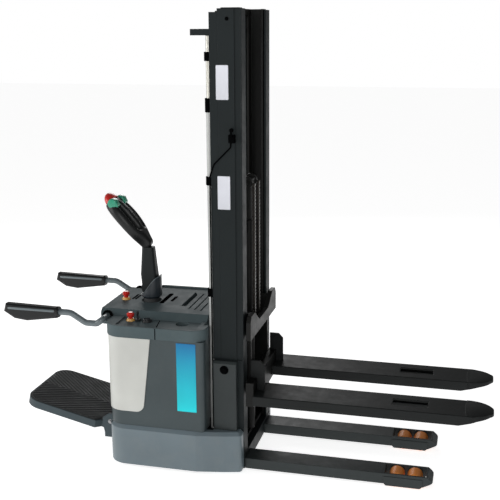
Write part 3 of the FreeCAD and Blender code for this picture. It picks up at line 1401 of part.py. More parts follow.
chassis_frame()
skirt()
body_cover()
deck()
stop_buttons()
key_and_gauge()
outer_ties()
mast_brackets()
limit_switch()
lift_cylinders()
duct_plate()
inner_masses()
hinge_ears()
inner_ties()
lift_beam()
lift_rods()
free_lift_cylinder()
crosshead()
chains()
carriage()
drive_unit()
tiller_cup()
tiller_arm()
tiller_head()
platform()
wheel("drive_wheel", s.steer_x, as_size(0), s.drive_radius, s.drive_width,
      20 + s.running_gap, 10)
PAIRS = [
    ("straddle_legs", straddle_leg),
    ("corner_panels", corner_panel),
    ("outer_columns", outer_column),
    ("inner_columns", inner_column),
    ("forks", fork),
]
for label, make in PAIRS:
    keep(group(*[make(side, sign) for side, sign in SIDES]), label)
for side, sign in SIDES:
    caster_fork(side, sign)
    wheel("caster_wheel_" + side, s.caster_x - s.caster_trail, sign * s.caster_half,
          s.caster_radius, s.caster_width, 8 + s.running_gap, 6)
    for place, x in (("front", s.load_wheel_front), ("rear", s.load_wheel_rear)):
        wheel(f"load_wheel_{side}_{place}", x, sign * s.leg_y, s.load_wheel_radius,
              s.load_wheel_width, s.load_axle_radius + s.running_gap, 3)
    guard_arm(side, sign)
    guard_grip(side, sign)

doc.recompute()
for item in doc.Objects:
    if "Invalid" in item.State or "Error" in item.State:
        raise RuntimeError(f"{item.Label} did not compute: {item.State}")
for node in nodes:
    if node.Shape.isNull() or not node.Shape.isValid():
        raise RuntimeError(f"{node.Label} has no valid shape")

os.makedirs("parts", exist_ok=True)
for node in nodes:
    node.Shape.exportStep(os.path.join("parts", node.Label + ".step"))
    box = node.Shape.BoundBox
    print(f"{node.Label:24s} solids {len(node.Shape.Solids)}  "
          f"x {box.XMin:8.1f} {box.XMax:8.1f}  y {box.YMin:7.1f} {box.YMax:7.1f}  "
          f"z {box.ZMin:7.1f} {box.ZMax:7.1f}")
print(len(nodes), "sub-parts")
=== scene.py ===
# %% [markdown]
# # An electric stacker, dressed in Blender
#
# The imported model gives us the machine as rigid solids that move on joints. In this lesson we
# keep those solids where they are and give them paint, rubber and steel. Then we model by hand
# what paint alone can't give: the ribs of the platform's mat, the tiller's soft grip and its
# switches, clips, bolts and blank plates.
#
# Everything is in metres. +X points along the forks, +Y to the rider's left, +Z up, and the
# floor is at Z = 0. The camera of the photograph stands on the machine's right, at -Y.

import math

import bpy
from mathutils import Matrix, Vector


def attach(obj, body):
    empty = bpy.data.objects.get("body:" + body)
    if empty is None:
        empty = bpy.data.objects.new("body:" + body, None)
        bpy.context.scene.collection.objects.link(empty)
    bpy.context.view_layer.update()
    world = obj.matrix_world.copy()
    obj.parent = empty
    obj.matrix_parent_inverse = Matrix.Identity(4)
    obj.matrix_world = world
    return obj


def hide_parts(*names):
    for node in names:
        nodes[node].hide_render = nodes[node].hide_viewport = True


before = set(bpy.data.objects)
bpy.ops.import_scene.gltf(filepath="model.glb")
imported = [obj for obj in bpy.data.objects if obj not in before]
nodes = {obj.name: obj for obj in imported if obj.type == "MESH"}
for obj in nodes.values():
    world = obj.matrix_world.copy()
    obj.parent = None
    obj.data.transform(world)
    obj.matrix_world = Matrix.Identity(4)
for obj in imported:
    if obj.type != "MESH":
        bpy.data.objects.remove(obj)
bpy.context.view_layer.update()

# %% [markdown]
# ## Reusable pieces of material
#
# A painted machine never has one flat colour. Three effects repeat on nearly every surface: a
# fine orange-peel grain for the bump, a slow change of tone over tens of centimetres, and a
# little dust or wear in blotches. All three read Object coordinates. A node's place is in its
# mesh, so that space is the machine's own, and the pattern neither slides with the camera nor
# changes when a joint moves. A few helpers add the shader nodes, to keep the network readable.

# %% Helpers that add shader nodes
def new_group(name, inputs, outputs):
    """An empty shader group: its tree, and its input and output nodes."""
    tree = bpy.data.node_groups.new(name, "ShaderNodeTree")
    for label, kind, value in inputs:
        socket = tree.interface.new_socket(label, in_out="INPUT", socket_type=kind)
        socket.default_value = value
    for label, kind in outputs:
        tree.interface.new_socket(label, in_out="OUTPUT", socket_type=kind)
    return tree, tree.nodes.new("NodeGroupInput"), tree.nodes.new("NodeGroupOutput")


def noise(tree, scale, detail, vector, roughness=0.5):
    """A noise texture; its scale may be a number or a socket."""
    node = tree.nodes.new("ShaderNodeTexNoise")
    node.inputs["Detail"].default_value = detail
    node.inputs["Roughness"].default_value = roughness
    if isinstance(scale, (int, float)):
        node.inputs["Scale"].default_value = scale
    else:
        tree.links.new(scale, node.inputs["Scale"])
    tree.links.new(vector, node.inputs["Vector"])
    return node.outputs["Fac"]


def remap(tree, value, low, high, to_low, to_high):
    """Stretch a value from one range to another, held at the ends."""
    node = tree.nodes.new("ShaderNodeMapRange")
    for name, number in (("From Min", low), ("From Max", high), ("To Min", to_low),
                         ("To Max", to_high)):
        if isinstance(number, (int, float)):
            node.inputs[name].default_value = number
        else:
            tree.links.new(number, node.inputs[name])
    tree.links.new(value, node.inputs["Value"])
    return node.outputs["Result"]


def mix_colour(tree, factor, first, second):
    """Blend two colour sockets by a factor."""
    node = tree.nodes.new("ShaderNodeMix")
    node.data_type = "RGBA"
    tree.links.new(factor, node.inputs["Factor"])
    tree.links.new(first, node.inputs["A"])
    tree.links.new(second, node.inputs["B"])
    return node.outputs["Result"]


def object_space(tree):
    """The machine's own coordinates, in metres."""
    return tree.nodes.new("ShaderNodeTexCoord").outputs["Object"]


print("shader helpers ready")

# %% [markdown]
# ### The worn finish
#
# Paint on a used machine is a little lighter here and darker there, dusty in patches, and
# grained when seen close. The same network could be drawn in every material, but then each
# change would be made twenty times over. So it is built once as a node group, which takes a
# colour, dust, roughness and grain, and hands out a colour, a roughness and a bump height.

# %% The worn_finish group
def make_finish_group():
    """Colour, roughness and bump height of a worked surface."""
    tree, given, result = new_group(
        "worn_finish",
        [("Color", "NodeSocketColor", (0.5, 0.5, 0.5, 1)),
         ("Dust Color", "NodeSocketColor", (0.5, 0.5, 0.5, 1)),
         ("Dust", "NodeSocketFloat", 0.2),
         ("Roughness", "NodeSocketFloat", 0.5),
         ("Roughness Change", "NodeSocketFloat", 0.1),
         ("Grain Scale", "NodeSocketFloat", 900.0)],
        [("Color", "NodeSocketColor"), ("Roughness", "NodeSocketFloat"),
         ("Height", "NodeSocketFloat")])
    space = object_space(tree)
    slow = noise(tree, 3.0, 3, space)
    blotch = noise(tree, 14.0, 5, space, 0.65)
    grain = noise(tree, given.outputs["Grain Scale"], 2, space)
    dusty = remap(tree, blotch, 0.45, 0.75, 0.0, given.outputs["Dust"])
    toned = tree.nodes.new("ShaderNodeHueSaturation")
    tree.links.new(given.outputs["Color"], toned.inputs["Color"])
    tree.links.new(remap(tree, slow, 0.3, 0.7, 0.88, 1.12), toned.inputs["Value"])
    coloured = mix_colour(tree, dusty, toned.outputs["Color"], given.outputs["Dust Color"])
    tree.links.new(coloured, result.inputs["Color"])
    spread = tree.nodes.new("ShaderNodeMath")
    spread.operation = "MULTIPLY_ADD"
    tree.links.new(remap(tree, blotch, 0.3, 0.7, -1.0, 1.0), spread.inputs[0])
    tree.links.new(given.outputs["Roughness Change"], spread.inputs[1])
    tree.links.new(given.outputs["Roughness"], spread.inputs[2])
    tree.links.new(spread.outputs["Value"], result.inputs["Roughness"])
    tree.links.new(grain, result.inputs["Height"])
    return tree


finish_group = make_finish_group()
print("group worn_finish has", len(finish_group.nodes), "nodes")

# %% [markdown]
# ## The materials
#
# The machine wears powder coat in several greys and near-blacks, moulded plastic, rubber and
# some bare steel. Each could be a material set up by hand, but they differ only in numbers. One
# table holds every finish: its colour, its dust, how rough it is and how coarse its grain is.

# %% The table of finishes
FINISHES = [
    # name, colour, dust colour,
    # dust, roughness, its change, grain scale, bump, metallic, coat, specular level
    ("charcoal_paint", (0.0064, 0.0100, 0.0108), (0.022, 0.025, 0.025),
     0.12, 0.50, 0.08, 1400, 0.08, 0, 0.0, 0.17),
    ("fork_paint", (0.0085, 0.0100, 0.0100), (0.028, 0.028, 0.027),
     0.12, 0.50, 0.08, 1200, 0.14, 0, 0.0, 0.18),
    ("deck_paint", (0.068, 0.092, 0.098), (0.13, 0.145, 0.145),
     0.16, 0.56, 0.08, 900, 0.16, 0, 0.0, 0.12),
    ("skirt_paint", (0.115, 0.150, 0.168), (0.20, 0.21, 0.20),
     0.18, 0.40, 0.08, 900, 0.14, 0, 0.1, 0.4),
    ("side_paint", (0.040, 0.055, 0.059), (0.09, 0.10, 0.098),
     0.16, 0.42, 0.07, 1000, 0.10, 0, 0.05, 0.30),
    ("tiller_paint", (0.0065, 0.0095, 0.0100), (0.025, 0.026, 0.025),
     0.10, 0.46, 0.06, 1400, 0.10, 0, 0.0, 0.22),
    # inner paint: the columns' charcoal, darker still as painted shade deep inside the mast
    ("inner_charcoal_painted_shade", (0.0035, 0.0038, 0.0034), (0.018, 0.018, 0.014),
     0.10, 0.46, 0.08, 1400, 0.08, 0, 0.0, 0.20),
    ("leg_paint", (0.0210, 0.0270, 0.0275), (0.060, 0.062, 0.060),
     0.14, 0.46, 0.08, 1200, 0.12, 0, 0.0, 0.3),
    ("cup_paint", (0.0160, 0.0230, 0.0290), (0.050, 0.054, 0.056),
     0.10, 0.36, 0.06, 1400, 0.06, 0, 0.05, 0.4),
    ("platform_paint", (0.043, 0.060, 0.068), (0.09, 0.10, 0.10),
     0.14, 0.50, 0.08, 900, 0.12, 0, 0.0, 0.25),
    # matte black without sheen, for dark parts and joints; laid over slots and holes it is
    # painted shade
    ("matte_black_and_painted_shade", (0.0020, 0.0022, 0.0024), (0.004, 0.004, 0.004),
     0.10, 0.90, 0.05, 900, 0.02, 0, 0.0, 0.0),
    ("panel_paint", (0.50, 0.505, 0.475), (0.42, 0.41, 0.38),
     0.14, 0.42, 0.06, 900, 0.08, 0, 0.03, 0.35),
    ("cylinder_paint", (0.42, 0.43, 0.42), (0.28, 0.28, 0.26),
     0.20, 0.38, 0.07, 1100, 0.08, 0, 0.1, 0.5),
    ("steel", (0.34, 0.34, 0.35), (0.16, 0.15, 0.13),
     0.40, 0.38, 0.10, 700, 0.10, 1, 0, 0.5),
    ("chrome", (0.44, 0.43, 0.39), (0.30, 0.29, 0.26),
     0.12, 0.30, 0.05, 1200, 0.02, 0.85, 0, 0.5),
    ("chain_steel", (0.060, 0.056, 0.052), (0.04, 0.034, 0.028),
     0.55, 0.36, 0.10, 500, 0.15, 1, 0, 0.5),
    ("black_plastic", (0.012, 0.013, 0.014), (0.045, 0.045, 0.043),
     0.20, 0.48, 0.08, 1600, 0.15, 0, 0, 0.3),
    ("grip_plastic", (0.0060, 0.0068, 0.0070), (0.022, 0.022, 0.021),
     0.08, 0.36, 0.06, 1500, 0.06, 0, 0.0, 0.30),
    # the guard arms' tube paint; the paler beads on collar and grips use it as painted highlight
    ("arm_tube_and_highlight_paint", (0.105, 0.130, 0.140), (0.20, 0.20, 0.19),
     0.15, 0.33, 0.07, 1000, 0.08, 0, 0.15, 0.5),
    ("red_plastic", (0.56, 0.016, 0.010), (0.38, 0.05, 0.04),
     0.15, 0.28, 0.05, 1400, 0.05, 0, 0.3, 0.5),
    ("yellow_plastic", (0.66, 0.36, 0.09), (0.5, 0.33, 0.1),
     0.20, 0.35, 0.05, 1400, 0.05, 0, 0.2, 0.5),
    ("green_plastic", (0.010, 0.26, 0.15), (0.04, 0.25, 0.17),
     0.15, 0.25, 0.05, 1400, 0.05, 0, 0.3, 0.5),
    ("plate_white", (0.62, 0.63, 0.68), (0.45, 0.45, 0.46),
     0.15, 0.42, 0.05, 1400, 0.03, 0, 0.1, 0.4),
    ("dark_glass", (0.008, 0.010, 0.014), (0.03, 0.03, 0.03),
     0.10, 0.12, 0.03, 1500, 0.02, 0, 0.4, 0.6),
    ("mat_rubber", (0.024, 0.026, 0.027), (0.075, 0.074, 0.070),
     0.30, 0.62, 0.10, 1300, 0.25, 0, 0, 0.3),
    ("wheel_orange", (0.78, 0.250, 0.040), (0.26, 0.11, 0.04),
     0.22, 0.42, 0.10, 900, 0.12, 0, 0.05, 0.4),
    ("tyre_black", (0.016, 0.016, 0.016), (0.07, 0.066, 0.06),
     0.45, 0.60, 0.10, 900, 0.30, 0, 0, 0.3),
]
print(len(FINISHES), "finishes")

# %% [markdown]
# ### From rows to materials
#
# A loop turns the rows into materials. Numbers that are the same all over a surface, such as
# Metallic or Coat Weight, go straight onto the shader's own sockets. Sheet steel is never
# sharp at its edges, so a Bevel node rounds the shading of every edge by a few millimetres, and
# the grain's bump lies on top of that.

# %% Make the materials
EDGE_ROUNDING = 0.004    # radius of the shaded edge, metres
GRAIN_DEPTH = 0.0006     # height of the paint's grain, metres
materials = {}
for name, colour, dust_colour, dust, rough, change, grain, bump, metal, coat, gloss in FINISHES:
    paint = bpy.data.materials.new(name)
    paint.use_nodes = True
    tree = paint.node_tree
    shader = tree.nodes["Principled BSDF"]
    shader.inputs["Metallic"].default_value = metal
    shader.inputs["Coat Weight"].default_value = coat
    shader.inputs["Specular IOR Level"].default_value = gloss
    finish = tree.nodes.new("ShaderNodeGroup")
    finish.node_tree = finish_group
    finish.inputs["Color"].default_value = (*colour, 1)
    finish.inputs["Dust Color"].default_value = (*dust_colour, 1)
    finish.inputs["Dust"].default_value = dust
    finish.inputs["Roughness"].default_value = rough
    finish.inputs["Roughness Change"].default_value = change
    finish.inputs["Grain Scale"].default_value = grain
    tree.links.new(finish.outputs["Color"], shader.inputs["Base Color"])
    tree.links.new(finish.outputs["Roughness"], shader.inputs["Roughness"])
    edge = tree.nodes.new("ShaderNodeBevel")
    edge.samples = 6
    edge.inputs["Radius"].default_value = EDGE_ROUNDING
    relief = tree.nodes.new("ShaderNodeBump")
    tree.links.new(edge.outputs["Normal"], relief.inputs["Normal"])
    relief.inputs["Strength"].default_value = bump
    relief.inputs["Distance"].default_value = GRAIN_DEPTH
    tree.links.new(finish.outputs["Height"], relief.inputs["Height"])
    tree.links.new(relief.outputs["Normal"], shader.inputs["Normal"])
    materials[name] = paint
print(len(materials), "materials")

# %% [markdown]
# ## Paint the CAD pieces
#
# The solids keep their shape. Each only gets a finish, by the row's name, and shading that is
# smooth along curves and sharp at real edges. A facet angle of 32 degrees tells the two apart:
# the drawing's curves turn by less from one facet to the next, and its folds by more.

# %% Give every CAD node its finish
FINISH_OF = {
    "charcoal_paint": ["chassis_frame", "outer_columns", "duct_plate", "lift_beam"],
    # the pieces inside the mast: charcoal darkened as painted shade
    "inner_charcoal_painted_shade": ["outer_mast_ties", "inner_columns", "inner_mast_ties", "crosshead",
                    "free_lift_cylinder", "carriage"],
    "leg_paint": ["straddle_legs", "mast_brackets"],
    "cylinder_paint": ["lift_cylinders"],
    "fork_paint": ["forks"],
    "deck_paint": ["deck"],
    "skirt_paint": ["skirt"],
    "platform_paint": ["platform", "platform_hinge"],
    "cup_paint": ["tiller_cup"],
    "tiller_paint": ["tiller_arm"],
    "side_paint": ["body_cover"],
    "panel_paint": ["corner_panels"],
    "steel": ["pump_unit", "drive_unit", "caster_fork_left", "caster_fork_right"],
    "chrome": ["lift_rods"],
    "chain_steel": ["front_chains", "rear_chains"],
    "black_plastic": ["battery", "key_and_gauge"],
    "matte_black_and_painted_shade": ["limit_switch", "switch_cable"],
    "grip_plastic": ["tiller_head", "guard_grip_left", "guard_grip_right"],
    "arm_tube_and_highlight_paint": ["guard_arm_left", "guard_arm_right"],
    "red_plastic": ["stop_buttons", "belly_switch"],
    "yellow_plastic": ["button_collars"],
    "mat_rubber": ["tiller_boot", "platform_mat"],
    "tyre_black": ["drive_wheel", "caster_wheel_left", "caster_wheel_right"],
    "wheel_orange": ["load_wheel_left_front", "load_wheel_left_rear",
                     "load_wheel_right_front", "load_wheel_right_rear"],
}


def only(obj):
    """Select this object alone and make it active."""
    bpy.ops.object.select_all(action="DESELECT")
    obj.select_set(True)
    bpy.context.view_layer.objects.active = obj


CAD_SMOOTH = math.radians(32)
painted = 0
for name, members in FINISH_OF.items():
    for member in members:
        node = nodes[member]
        node.data.materials.clear()
        node.data.materials.append(materials[name])
        only(node)
        bpy.ops.object.shade_smooth_by_angle(angle=CAD_SMOOTH)
        painted += 1
print("painted", painted, "of", len(nodes), "nodes")

# %% [markdown]
# ## A workbench for small pieces
#
# Every hand-made piece goes the same way: start from a primitive with nothing else selected,
# shape it in edit mode with faces or edges picked by their place, then settle it. The first
# helpers start a box between two corners, or a round bar along an axis.

# %% Start a shape
def start_block(name, low, high):
    """A box between two corners, its scale applied, ready for edit mode."""
    bpy.ops.object.select_all(action="DESELECT")
    middle = [(a + b) / 2 for a, b in zip(low, high)]
    bpy.ops.mesh.primitive_cube_add(size=1, location=middle)
    obj = bpy.context.object
    obj.name = name
    obj.scale = [b - a for a, b in zip(low, high)]
    bpy.ops.object.transform_apply(location=True, rotation=True, scale=True)
    return obj


def start_rod(name, middle, radius, depth, axis="Z", sides=32):
    """A closed round bar along one axis, ready for edit mode."""
    bpy.ops.object.select_all(action="DESELECT")
    turn = {"Z": (0, 0, 0), "X": (0, math.pi / 2, 0), "Y": (math.pi / 2, 0, 0)}[axis]
    bpy.ops.mesh.primitive_cylinder_add(vertices=sides, radius=radius, depth=depth,
                                        location=middle, rotation=turn)
    obj = bpy.context.object
    obj.name = name
    bpy.ops.object.transform_apply(location=True, rotation=True, scale=True)
    return obj


print("boxes and bars ready")

# %% [markdown]
# ### Shape it
#
# In edit mode a person clicks the faces or edges that a tool should work on. A script can't
# point, so it picks them by their place and direction instead, which still holds when the mesh
# gets more faces. Bevelling edges is the commonest tool. Modifiers are applied at once, so that
# what we see is what we keep.

# %% Pick, bevel, modify and join
def pick(obj, kind, test):
    """Go into edit mode with only the faces or edges selected that pass the test."""
    only(obj)
    bpy.ops.object.mode_set(mode="EDIT")
    bpy.ops.mesh.select_mode(type=kind)
    bpy.ops.mesh.select_all(action="DESELECT")
    bpy.ops.object.mode_set(mode="OBJECT")
    points = obj.data.vertices
    if kind == "FACE":
        for face in obj.data.polygons:
            face.select = bool(test(face.center, face.normal))
    else:
        for edge in obj.data.edges:
            a, b = (points[i].co for i in edge.vertices)
            edge.select = bool(test((a + b) / 2, (b - a).normalized()))
    bpy.ops.object.mode_set(mode="EDIT")


def bevel_edges(obj, width, segments, test):
    """Bevel the edges whose middle and direction pass the test."""
    pick(obj, "EDGE", test)
    bpy.ops.mesh.bevel(offset=width, segments=segments, affect="EDGES")
    bpy.ops.object.mode_set(mode="OBJECT")


def with_modifier(obj, kind, **settings):
    """Add a modifier with these settings and apply it."""
    only(obj)
    bpy.ops.object.modifier_add(type=kind)
    modifier = obj.modifiers[-1]
    for key, value in settings.items():
        setattr(modifier, key, value)
    bpy.ops.object.modifier_apply(modifier=modifier.name)


def join(name, parts):
    """Join several shapes into one piece."""
    bpy.ops.object.select_all(action="DESELECT")
    for part in parts:
        part.select_set(True)
    bpy.context.view_layer.objects.active = parts[0]
    if len(parts) > 1:
        bpy.ops.object.join()
    parts[0].name = name
    return parts[0]


print("edit-mode helpers ready")

# %% [markdown]
# ### Settle it on a body
#
# A finished piece has to ride on the right body and look right there. Settling applies the
# object's own turn and scale, so that its place is in its mesh as a CAD node's is, closes
# doubled points, points the normals outwards, and hands the piece to the body it rides. The
# table gives the material of the record that each finish stands for.

# %% Settle a piece
HAND_SMOOTH = math.radians(35)


def settle(obj, body, finish, place=None):
    """Apply its place, mend its surface, give it a finish, and let it ride on a body."""
    only(obj)
    if place is not None:
        obj.matrix_world = place @ obj.matrix_world
        bpy.ops.object.transform_apply(location=True, rotation=True, scale=True)
    bpy.ops.object.mode_set(mode="EDIT")
    bpy.ops.mesh.select_all(action="SELECT")
    bpy.ops.mesh.remove_doubles(threshold=0.00001)
    bpy.ops.mesh.normals_make_consistent(inside=False)
    bpy.ops.object.mode_set(mode="OBJECT")
    bpy.ops.object.shade_smooth_by_angle(angle=HAND_SMOOTH)
    obj.data.materials.clear()
    obj.data.materials.append(materials[finish])
    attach(obj, body)
    print(obj.name, len(obj.data.polygons), "faces on", body)
    return obj


# %% [markdown]
# ## The platform's ribbed mat
#
# The rider stands on a black rubber mat with raised ribs in a herringbone: each rib runs
# forwards to the middle at about 36 degrees. One rib is a long bar with bevelled upper edges.
# Array repeats it every 34 mm along the platform, Mirror makes the other half, and a Boolean
# with a rounded block trims all of them to the mat's outline at once. They are built level and
# then laid on the platform, which rises 13 degrees from its hinge.

# %% Herringbone ribs
HEEL = 0.093    # the forks' heel, from which the drawing's lengths were read
HINGE_X, HINGE_Z = HEEL - 0.817, 0.171
PLATFORM_RISE = math.radians(13)
PLATFORM_PLACE = (Matrix.Translation((HINGE_X, 0, HINGE_Z))
                  @ Matrix.Rotation(PLATFORM_RISE, 4, "Y"))
RIB_TURN = math.radians(36)
RIB_STEP = 0.034
rib = start_block("mat_ribs", (-0.40, -0.0045, -0.0106), (0, 0.0045, -0.0072))
bevel_edges(rib, 0.0012, 2, lambda at, along: abs(along.x) > 0.9 and at.z > -0.009)
rib.rotation_euler = (0, 0, RIB_TURN)
rib.location = (-0.470, 0, 0)
only(rib)
bpy.ops.object.transform_apply(location=True, rotation=True, scale=True)
with_modifier(rib, "ARRAY", count=22, use_relative_offset=False, use_constant_offset=True,
              constant_offset_displace=(RIB_STEP, 0, 0))
with_modifier(rib, "MIRROR", use_axis=(False, True, False), use_bisect_axis=(False, True, False),
              use_bisect_flip_axis=(False, True, False))
trim = start_block("trim", (-0.482, -0.217, -0.02), (-0.036, 0.217, 0.01))
bevel_edges(trim, 0.075, 10, lambda at, along: abs(along.z) > 0.9 and at.x < -0.3)
bevel_edges(trim, 0.05, 1, lambda at, along: abs(along.z) > 0.9 and at.x > -0.1)
with_modifier(rib, "BOOLEAN", object=trim, operation="INTERSECT", solver="EXACT")
only(trim)
bpy.ops.object.delete()
settle(rib, "platform", "mat_rubber", PLATFORM_PLACE)

# %% [markdown]
# ## The tiller's head
#
# The head is a loop moulded round a middle pod, with a red belly switch at its end, a green
# rocker for each thumb, and a charge display and four square keys on the pod. It leans
# 40 degrees. Its pieces could be modelled where they are, at a slant, but it is easier to model
# them flat in the head's own frame, with X across, Y along the head and Z out of its upper
# face. One matrix then puts them all in place.

# %% The head's own frame
HEAD_LEAN = math.radians(-40)
HEAD_PLACE = (Matrix.Translation((HEEL - 0.648, 0, 1.100))
              @ Matrix.Rotation(HEAD_LEAN, 4, "Y")
              @ Matrix(((0, 0, 1, 0), (1, 0, 0, 0), (0, 1, 0, 0), (0, 0, 0, 1))))
print("head frame at", [round(v, 3) for v in HEAD_PLACE.translation])

# %% [markdown]
# ### The handle itself
#
# The real handle is one soft, rounded loop, and the drawing's solid has flat sides. So the
# handle is modelled again over it: a small grid is laid out by a table of rows, the two finger
# openings are deleted, the sheet is extruded to a thickness, each row takes its own height, and
# Subdivision Surface rounds the whole. It stands for the CAD node from then on.

# %% A rounded loop handle
HEAD_ROWS = [
    # along the head, half width, upper face, lower face
    (-0.012, 0.028, 0.028, -0.030), (0.020, 0.034, 0.032, -0.033),
    (0.060, 0.060, 0.036, -0.034), (0.094, 0.080, 0.040, -0.033),
    (0.140, 0.091, 0.043, -0.033), (0.190, 0.093, 0.043, -0.035),
    (0.232, 0.089, 0.040, -0.038), (0.262, 0.080, 0.036, -0.040),
    (0.288, 0.067, 0.030, -0.038), (0.303, 0.056, 0.025, -0.034),
]
HEAD_COLUMNS = (-1, -0.57, -0.25, 0, 0.25, 0.57, 1)    # shares of the half width
EDGE_SHARE = 0.62    # how much of its height the outermost column keeps
across, down = len(HEAD_COLUMNS) - 1, len(HEAD_ROWS) - 1
bpy.ops.object.select_all(action="DESELECT")
bpy.ops.mesh.primitive_grid_add(x_subdivisions=across, y_subdivisions=down, size=1)
handle = bpy.context.object
handle.name = "loop_handle"
pick(handle, "FACE", lambda at, normal: 0.17 < abs(at.x) < 0.33 and -0.17 < at.y < 0.27)
bpy.ops.mesh.delete(type="FACE")
bpy.ops.mesh.select_all(action="SELECT")
bpy.ops.mesh.extrude_region_move(TRANSFORM_OT_translate={"value": (0, 0, -1)})
bpy.ops.object.mode_set(mode="OBJECT")
for vertex in handle.data.vertices:
    column = HEAD_COLUMNS[round((vertex.co.x + 0.5) * across)]
    along, half, upper, lower = HEAD_ROWS[round((vertex.co.y + 0.5) * down)]
    rounding = EDGE_SHARE if abs(column) == 1 else 1.0
    height = upper if vertex.co.z > -0.5 else lower
    vertex.co = (column * half, along, height * rounding)
with_modifier(handle, "SUBSURF", levels=3, render_levels=3)
settle(handle, "tiller", "grip_plastic", HEAD_PLACE)
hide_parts("tiller_head")

# %% [markdown]
# ### The belly switch
#
# The red button at the head's end stops the machine when it is pushed against the rider. It is
# a soft dome, wider than it is high. A sphere is scaled to three different radii, Bisect cuts
# it where it meets the head and fills the cut, and a small bevel rounds that seat.

# %% The red belly switch as a dome
DOME_SEAT = 0.3010    # where the dome meets the head, along it
bpy.ops.object.select_all(action="DESELECT")
bpy.ops.mesh.primitive_uv_sphere_add(segments=40, ring_count=24, radius=1)
dome = bpy.context.object
dome.name = "belly_dome"
dome.scale = (0.058, 0.056, 0.034)
dome.location = (0, 0.2905, -0.003)
bpy.ops.object.transform_apply(location=True, rotation=True, scale=True)
pick(dome, "FACE", lambda at, normal: True)
bpy.ops.mesh.bisect(plane_co=(0, DOME_SEAT, 0), plane_no=(0, 1, 0), clear_inner=True,
                    use_fill=True)
bpy.ops.object.mode_set(mode="OBJECT")
bevel_edges(dome, 0.002, 2, lambda at, along: abs(at.y - DOME_SEAT) < 0.0002)
settle(dome, "tiller", "red_plastic", HEAD_PLACE)
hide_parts("belly_switch")

# %% [markdown]
# ### Thumb rockers
#
# A thumb turns one of the two green wings to drive forwards or back. A wing is a thick round
# disc with a nose. The disc could be cut from a block, but a short round bar already has the
# shape: its rims are bevelled and the faces towards the rider are pulled out to form the nose.

# %% Green thumb rockers
wings = []
for side in (-1, 1):
    wing = start_rod("wing", (side * 0.054, 0.281, 0.016), 0.0255, 0.042, "X", 28)
    bevel_edges(wing, 0.005, 3, lambda at, along: abs(along.x) < 0.5)
    pick(wing, "FACE", lambda at, normal: normal.y < -0.55 and abs(normal.x) < 0.2)
    bpy.ops.transform.translate(value=(0, -0.010, 0))
    bpy.ops.object.mode_set(mode="OBJECT")
    wings.append(wing)
settle(join("thumb_rockers", wings), "tiller", "green_plastic", HEAD_PLACE)

# %% [markdown]
# ### Display and keys
#
# The pod's face has a small dark display and four square keys for lifting and lowering. They
# are low blocks with rounded corners. The display's upper face is inset and sunk, as a window
# in its frame, and each key gets a second, finer bevel round its top.

# %% The display
display = start_block("pod_display", (-0.016, 0.175, 0.030), (0.016, 0.222, 0.0385))
bevel_edges(display, 0.005, 3, lambda at, along: abs(along.z) > 0.9)
pick(display, "FACE", lambda at, normal: normal.z > 0.9)
bpy.ops.mesh.inset(thickness=0.0025, depth=-0.0012)
bpy.ops.object.mode_set(mode="OBJECT")
settle(display, "tiller", "dark_glass", HEAD_PLACE)

# %% Four keys
keys = []
for column in (-0.0095, 0.0095):
    for row in (0.128, 0.150):
        key = start_block("key", (column - 0.007, row - 0.008, 0.022),
                          (column + 0.007, row + 0.008, 0.0292))
        bevel_edges(key, 0.003, 2, lambda at, along: abs(along.z) > 0.9)
        bevel_edges(key, 0.0012, 2, lambda at, along: at.z > 0.029)
        keys.append(key)
settle(join("pod_keys", keys), "tiller", "black_plastic", HEAD_PLACE)

# %% [markdown]
# ## The tiller's cup
#
# Where the arm enters the deck it stands in a rounded collar, high in front and low behind so
# that the arm can lean back. It begins as a round bar whose top is extruded twice and opened,
# which gives four rings of points. The lower rings are drawn in and the rim's points are lifted
# on a smooth curve. Solidify then gives the wall its thickness and a bevel rounds the rim.

# %% Collar round the arm's foot
STEER_X = HEEL - 0.640    # the steering axis
CUP_SIDES = 56
cup = start_rod("tiller_collar", (STEER_X, 0, 0.8215), 0.0565, 0.010, "Z", CUP_SIDES)
pick(cup, "FACE", lambda at, normal: normal.z > 0.9)
bpy.ops.mesh.extrude_region_move(TRANSFORM_OT_translate={"value": (0, 0, 0.012)})
bpy.ops.mesh.extrude_region_move(TRANSFORM_OT_translate={"value": (0, 0, 0.010)})
bpy.ops.mesh.delete(type="FACE")
bpy.ops.object.mode_set(mode="OBJECT")
axis = Vector((STEER_X, 0, 0))
RIM_REAR, RIM_RISE = 0.828, 0.106


def rim_height(out):
    """The rim's height, low behind the arm, and a broad crest ahead of it."""
    share = max(0, (1 + out.x / out.length) / 2)
    return RIM_REAR + RIM_RISE * share ** 2 * (3 - 2 * share)


for vertex in cup.data.vertices:
    out = Vector((vertex.co.x - axis.x, vertex.co.y, 0))
    level = vertex.co.z
    if level < 0.818:      # the foot's lower ring
        vertex.co = axis + out * 0.83 + Vector((0, 0, 0.8165))
    elif level < 0.828:    # its upper ring
        vertex.co = axis + out * 0.95 + Vector((0, 0, 0.824))
    elif level < 0.840:    # the wall's widest ring
        vertex.co = axis + out + Vector((0, 0, 0.8265))
    else:                  # the rim
        vertex.co = axis + out * 0.99 + Vector((0, 0, rim_height(out)))
with_modifier(cup, "SOLIDIFY", thickness=0.004, offset=-1)
bevel_edges(cup, 0.0016, 2, lambda at, along: at.z > 0.8275 and abs(along.z) < 0.9
            and math.hypot(at.x - axis.x, at.y) > 0.049)
settle(cup, "steering", "cup_paint")
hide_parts("tiller_cup")

# %% [markdown]
# ### The rim's painted highlight
#
# A pale line runs round the collar's upper edge, where the paint catches the light on a rolled
# rim. A torus of the rim's radius, with its points lifted by the same curve as the rim, gives
# that rolled edge and follows it exactly. Its paler paint is a painted highlight for the light
# caught there.

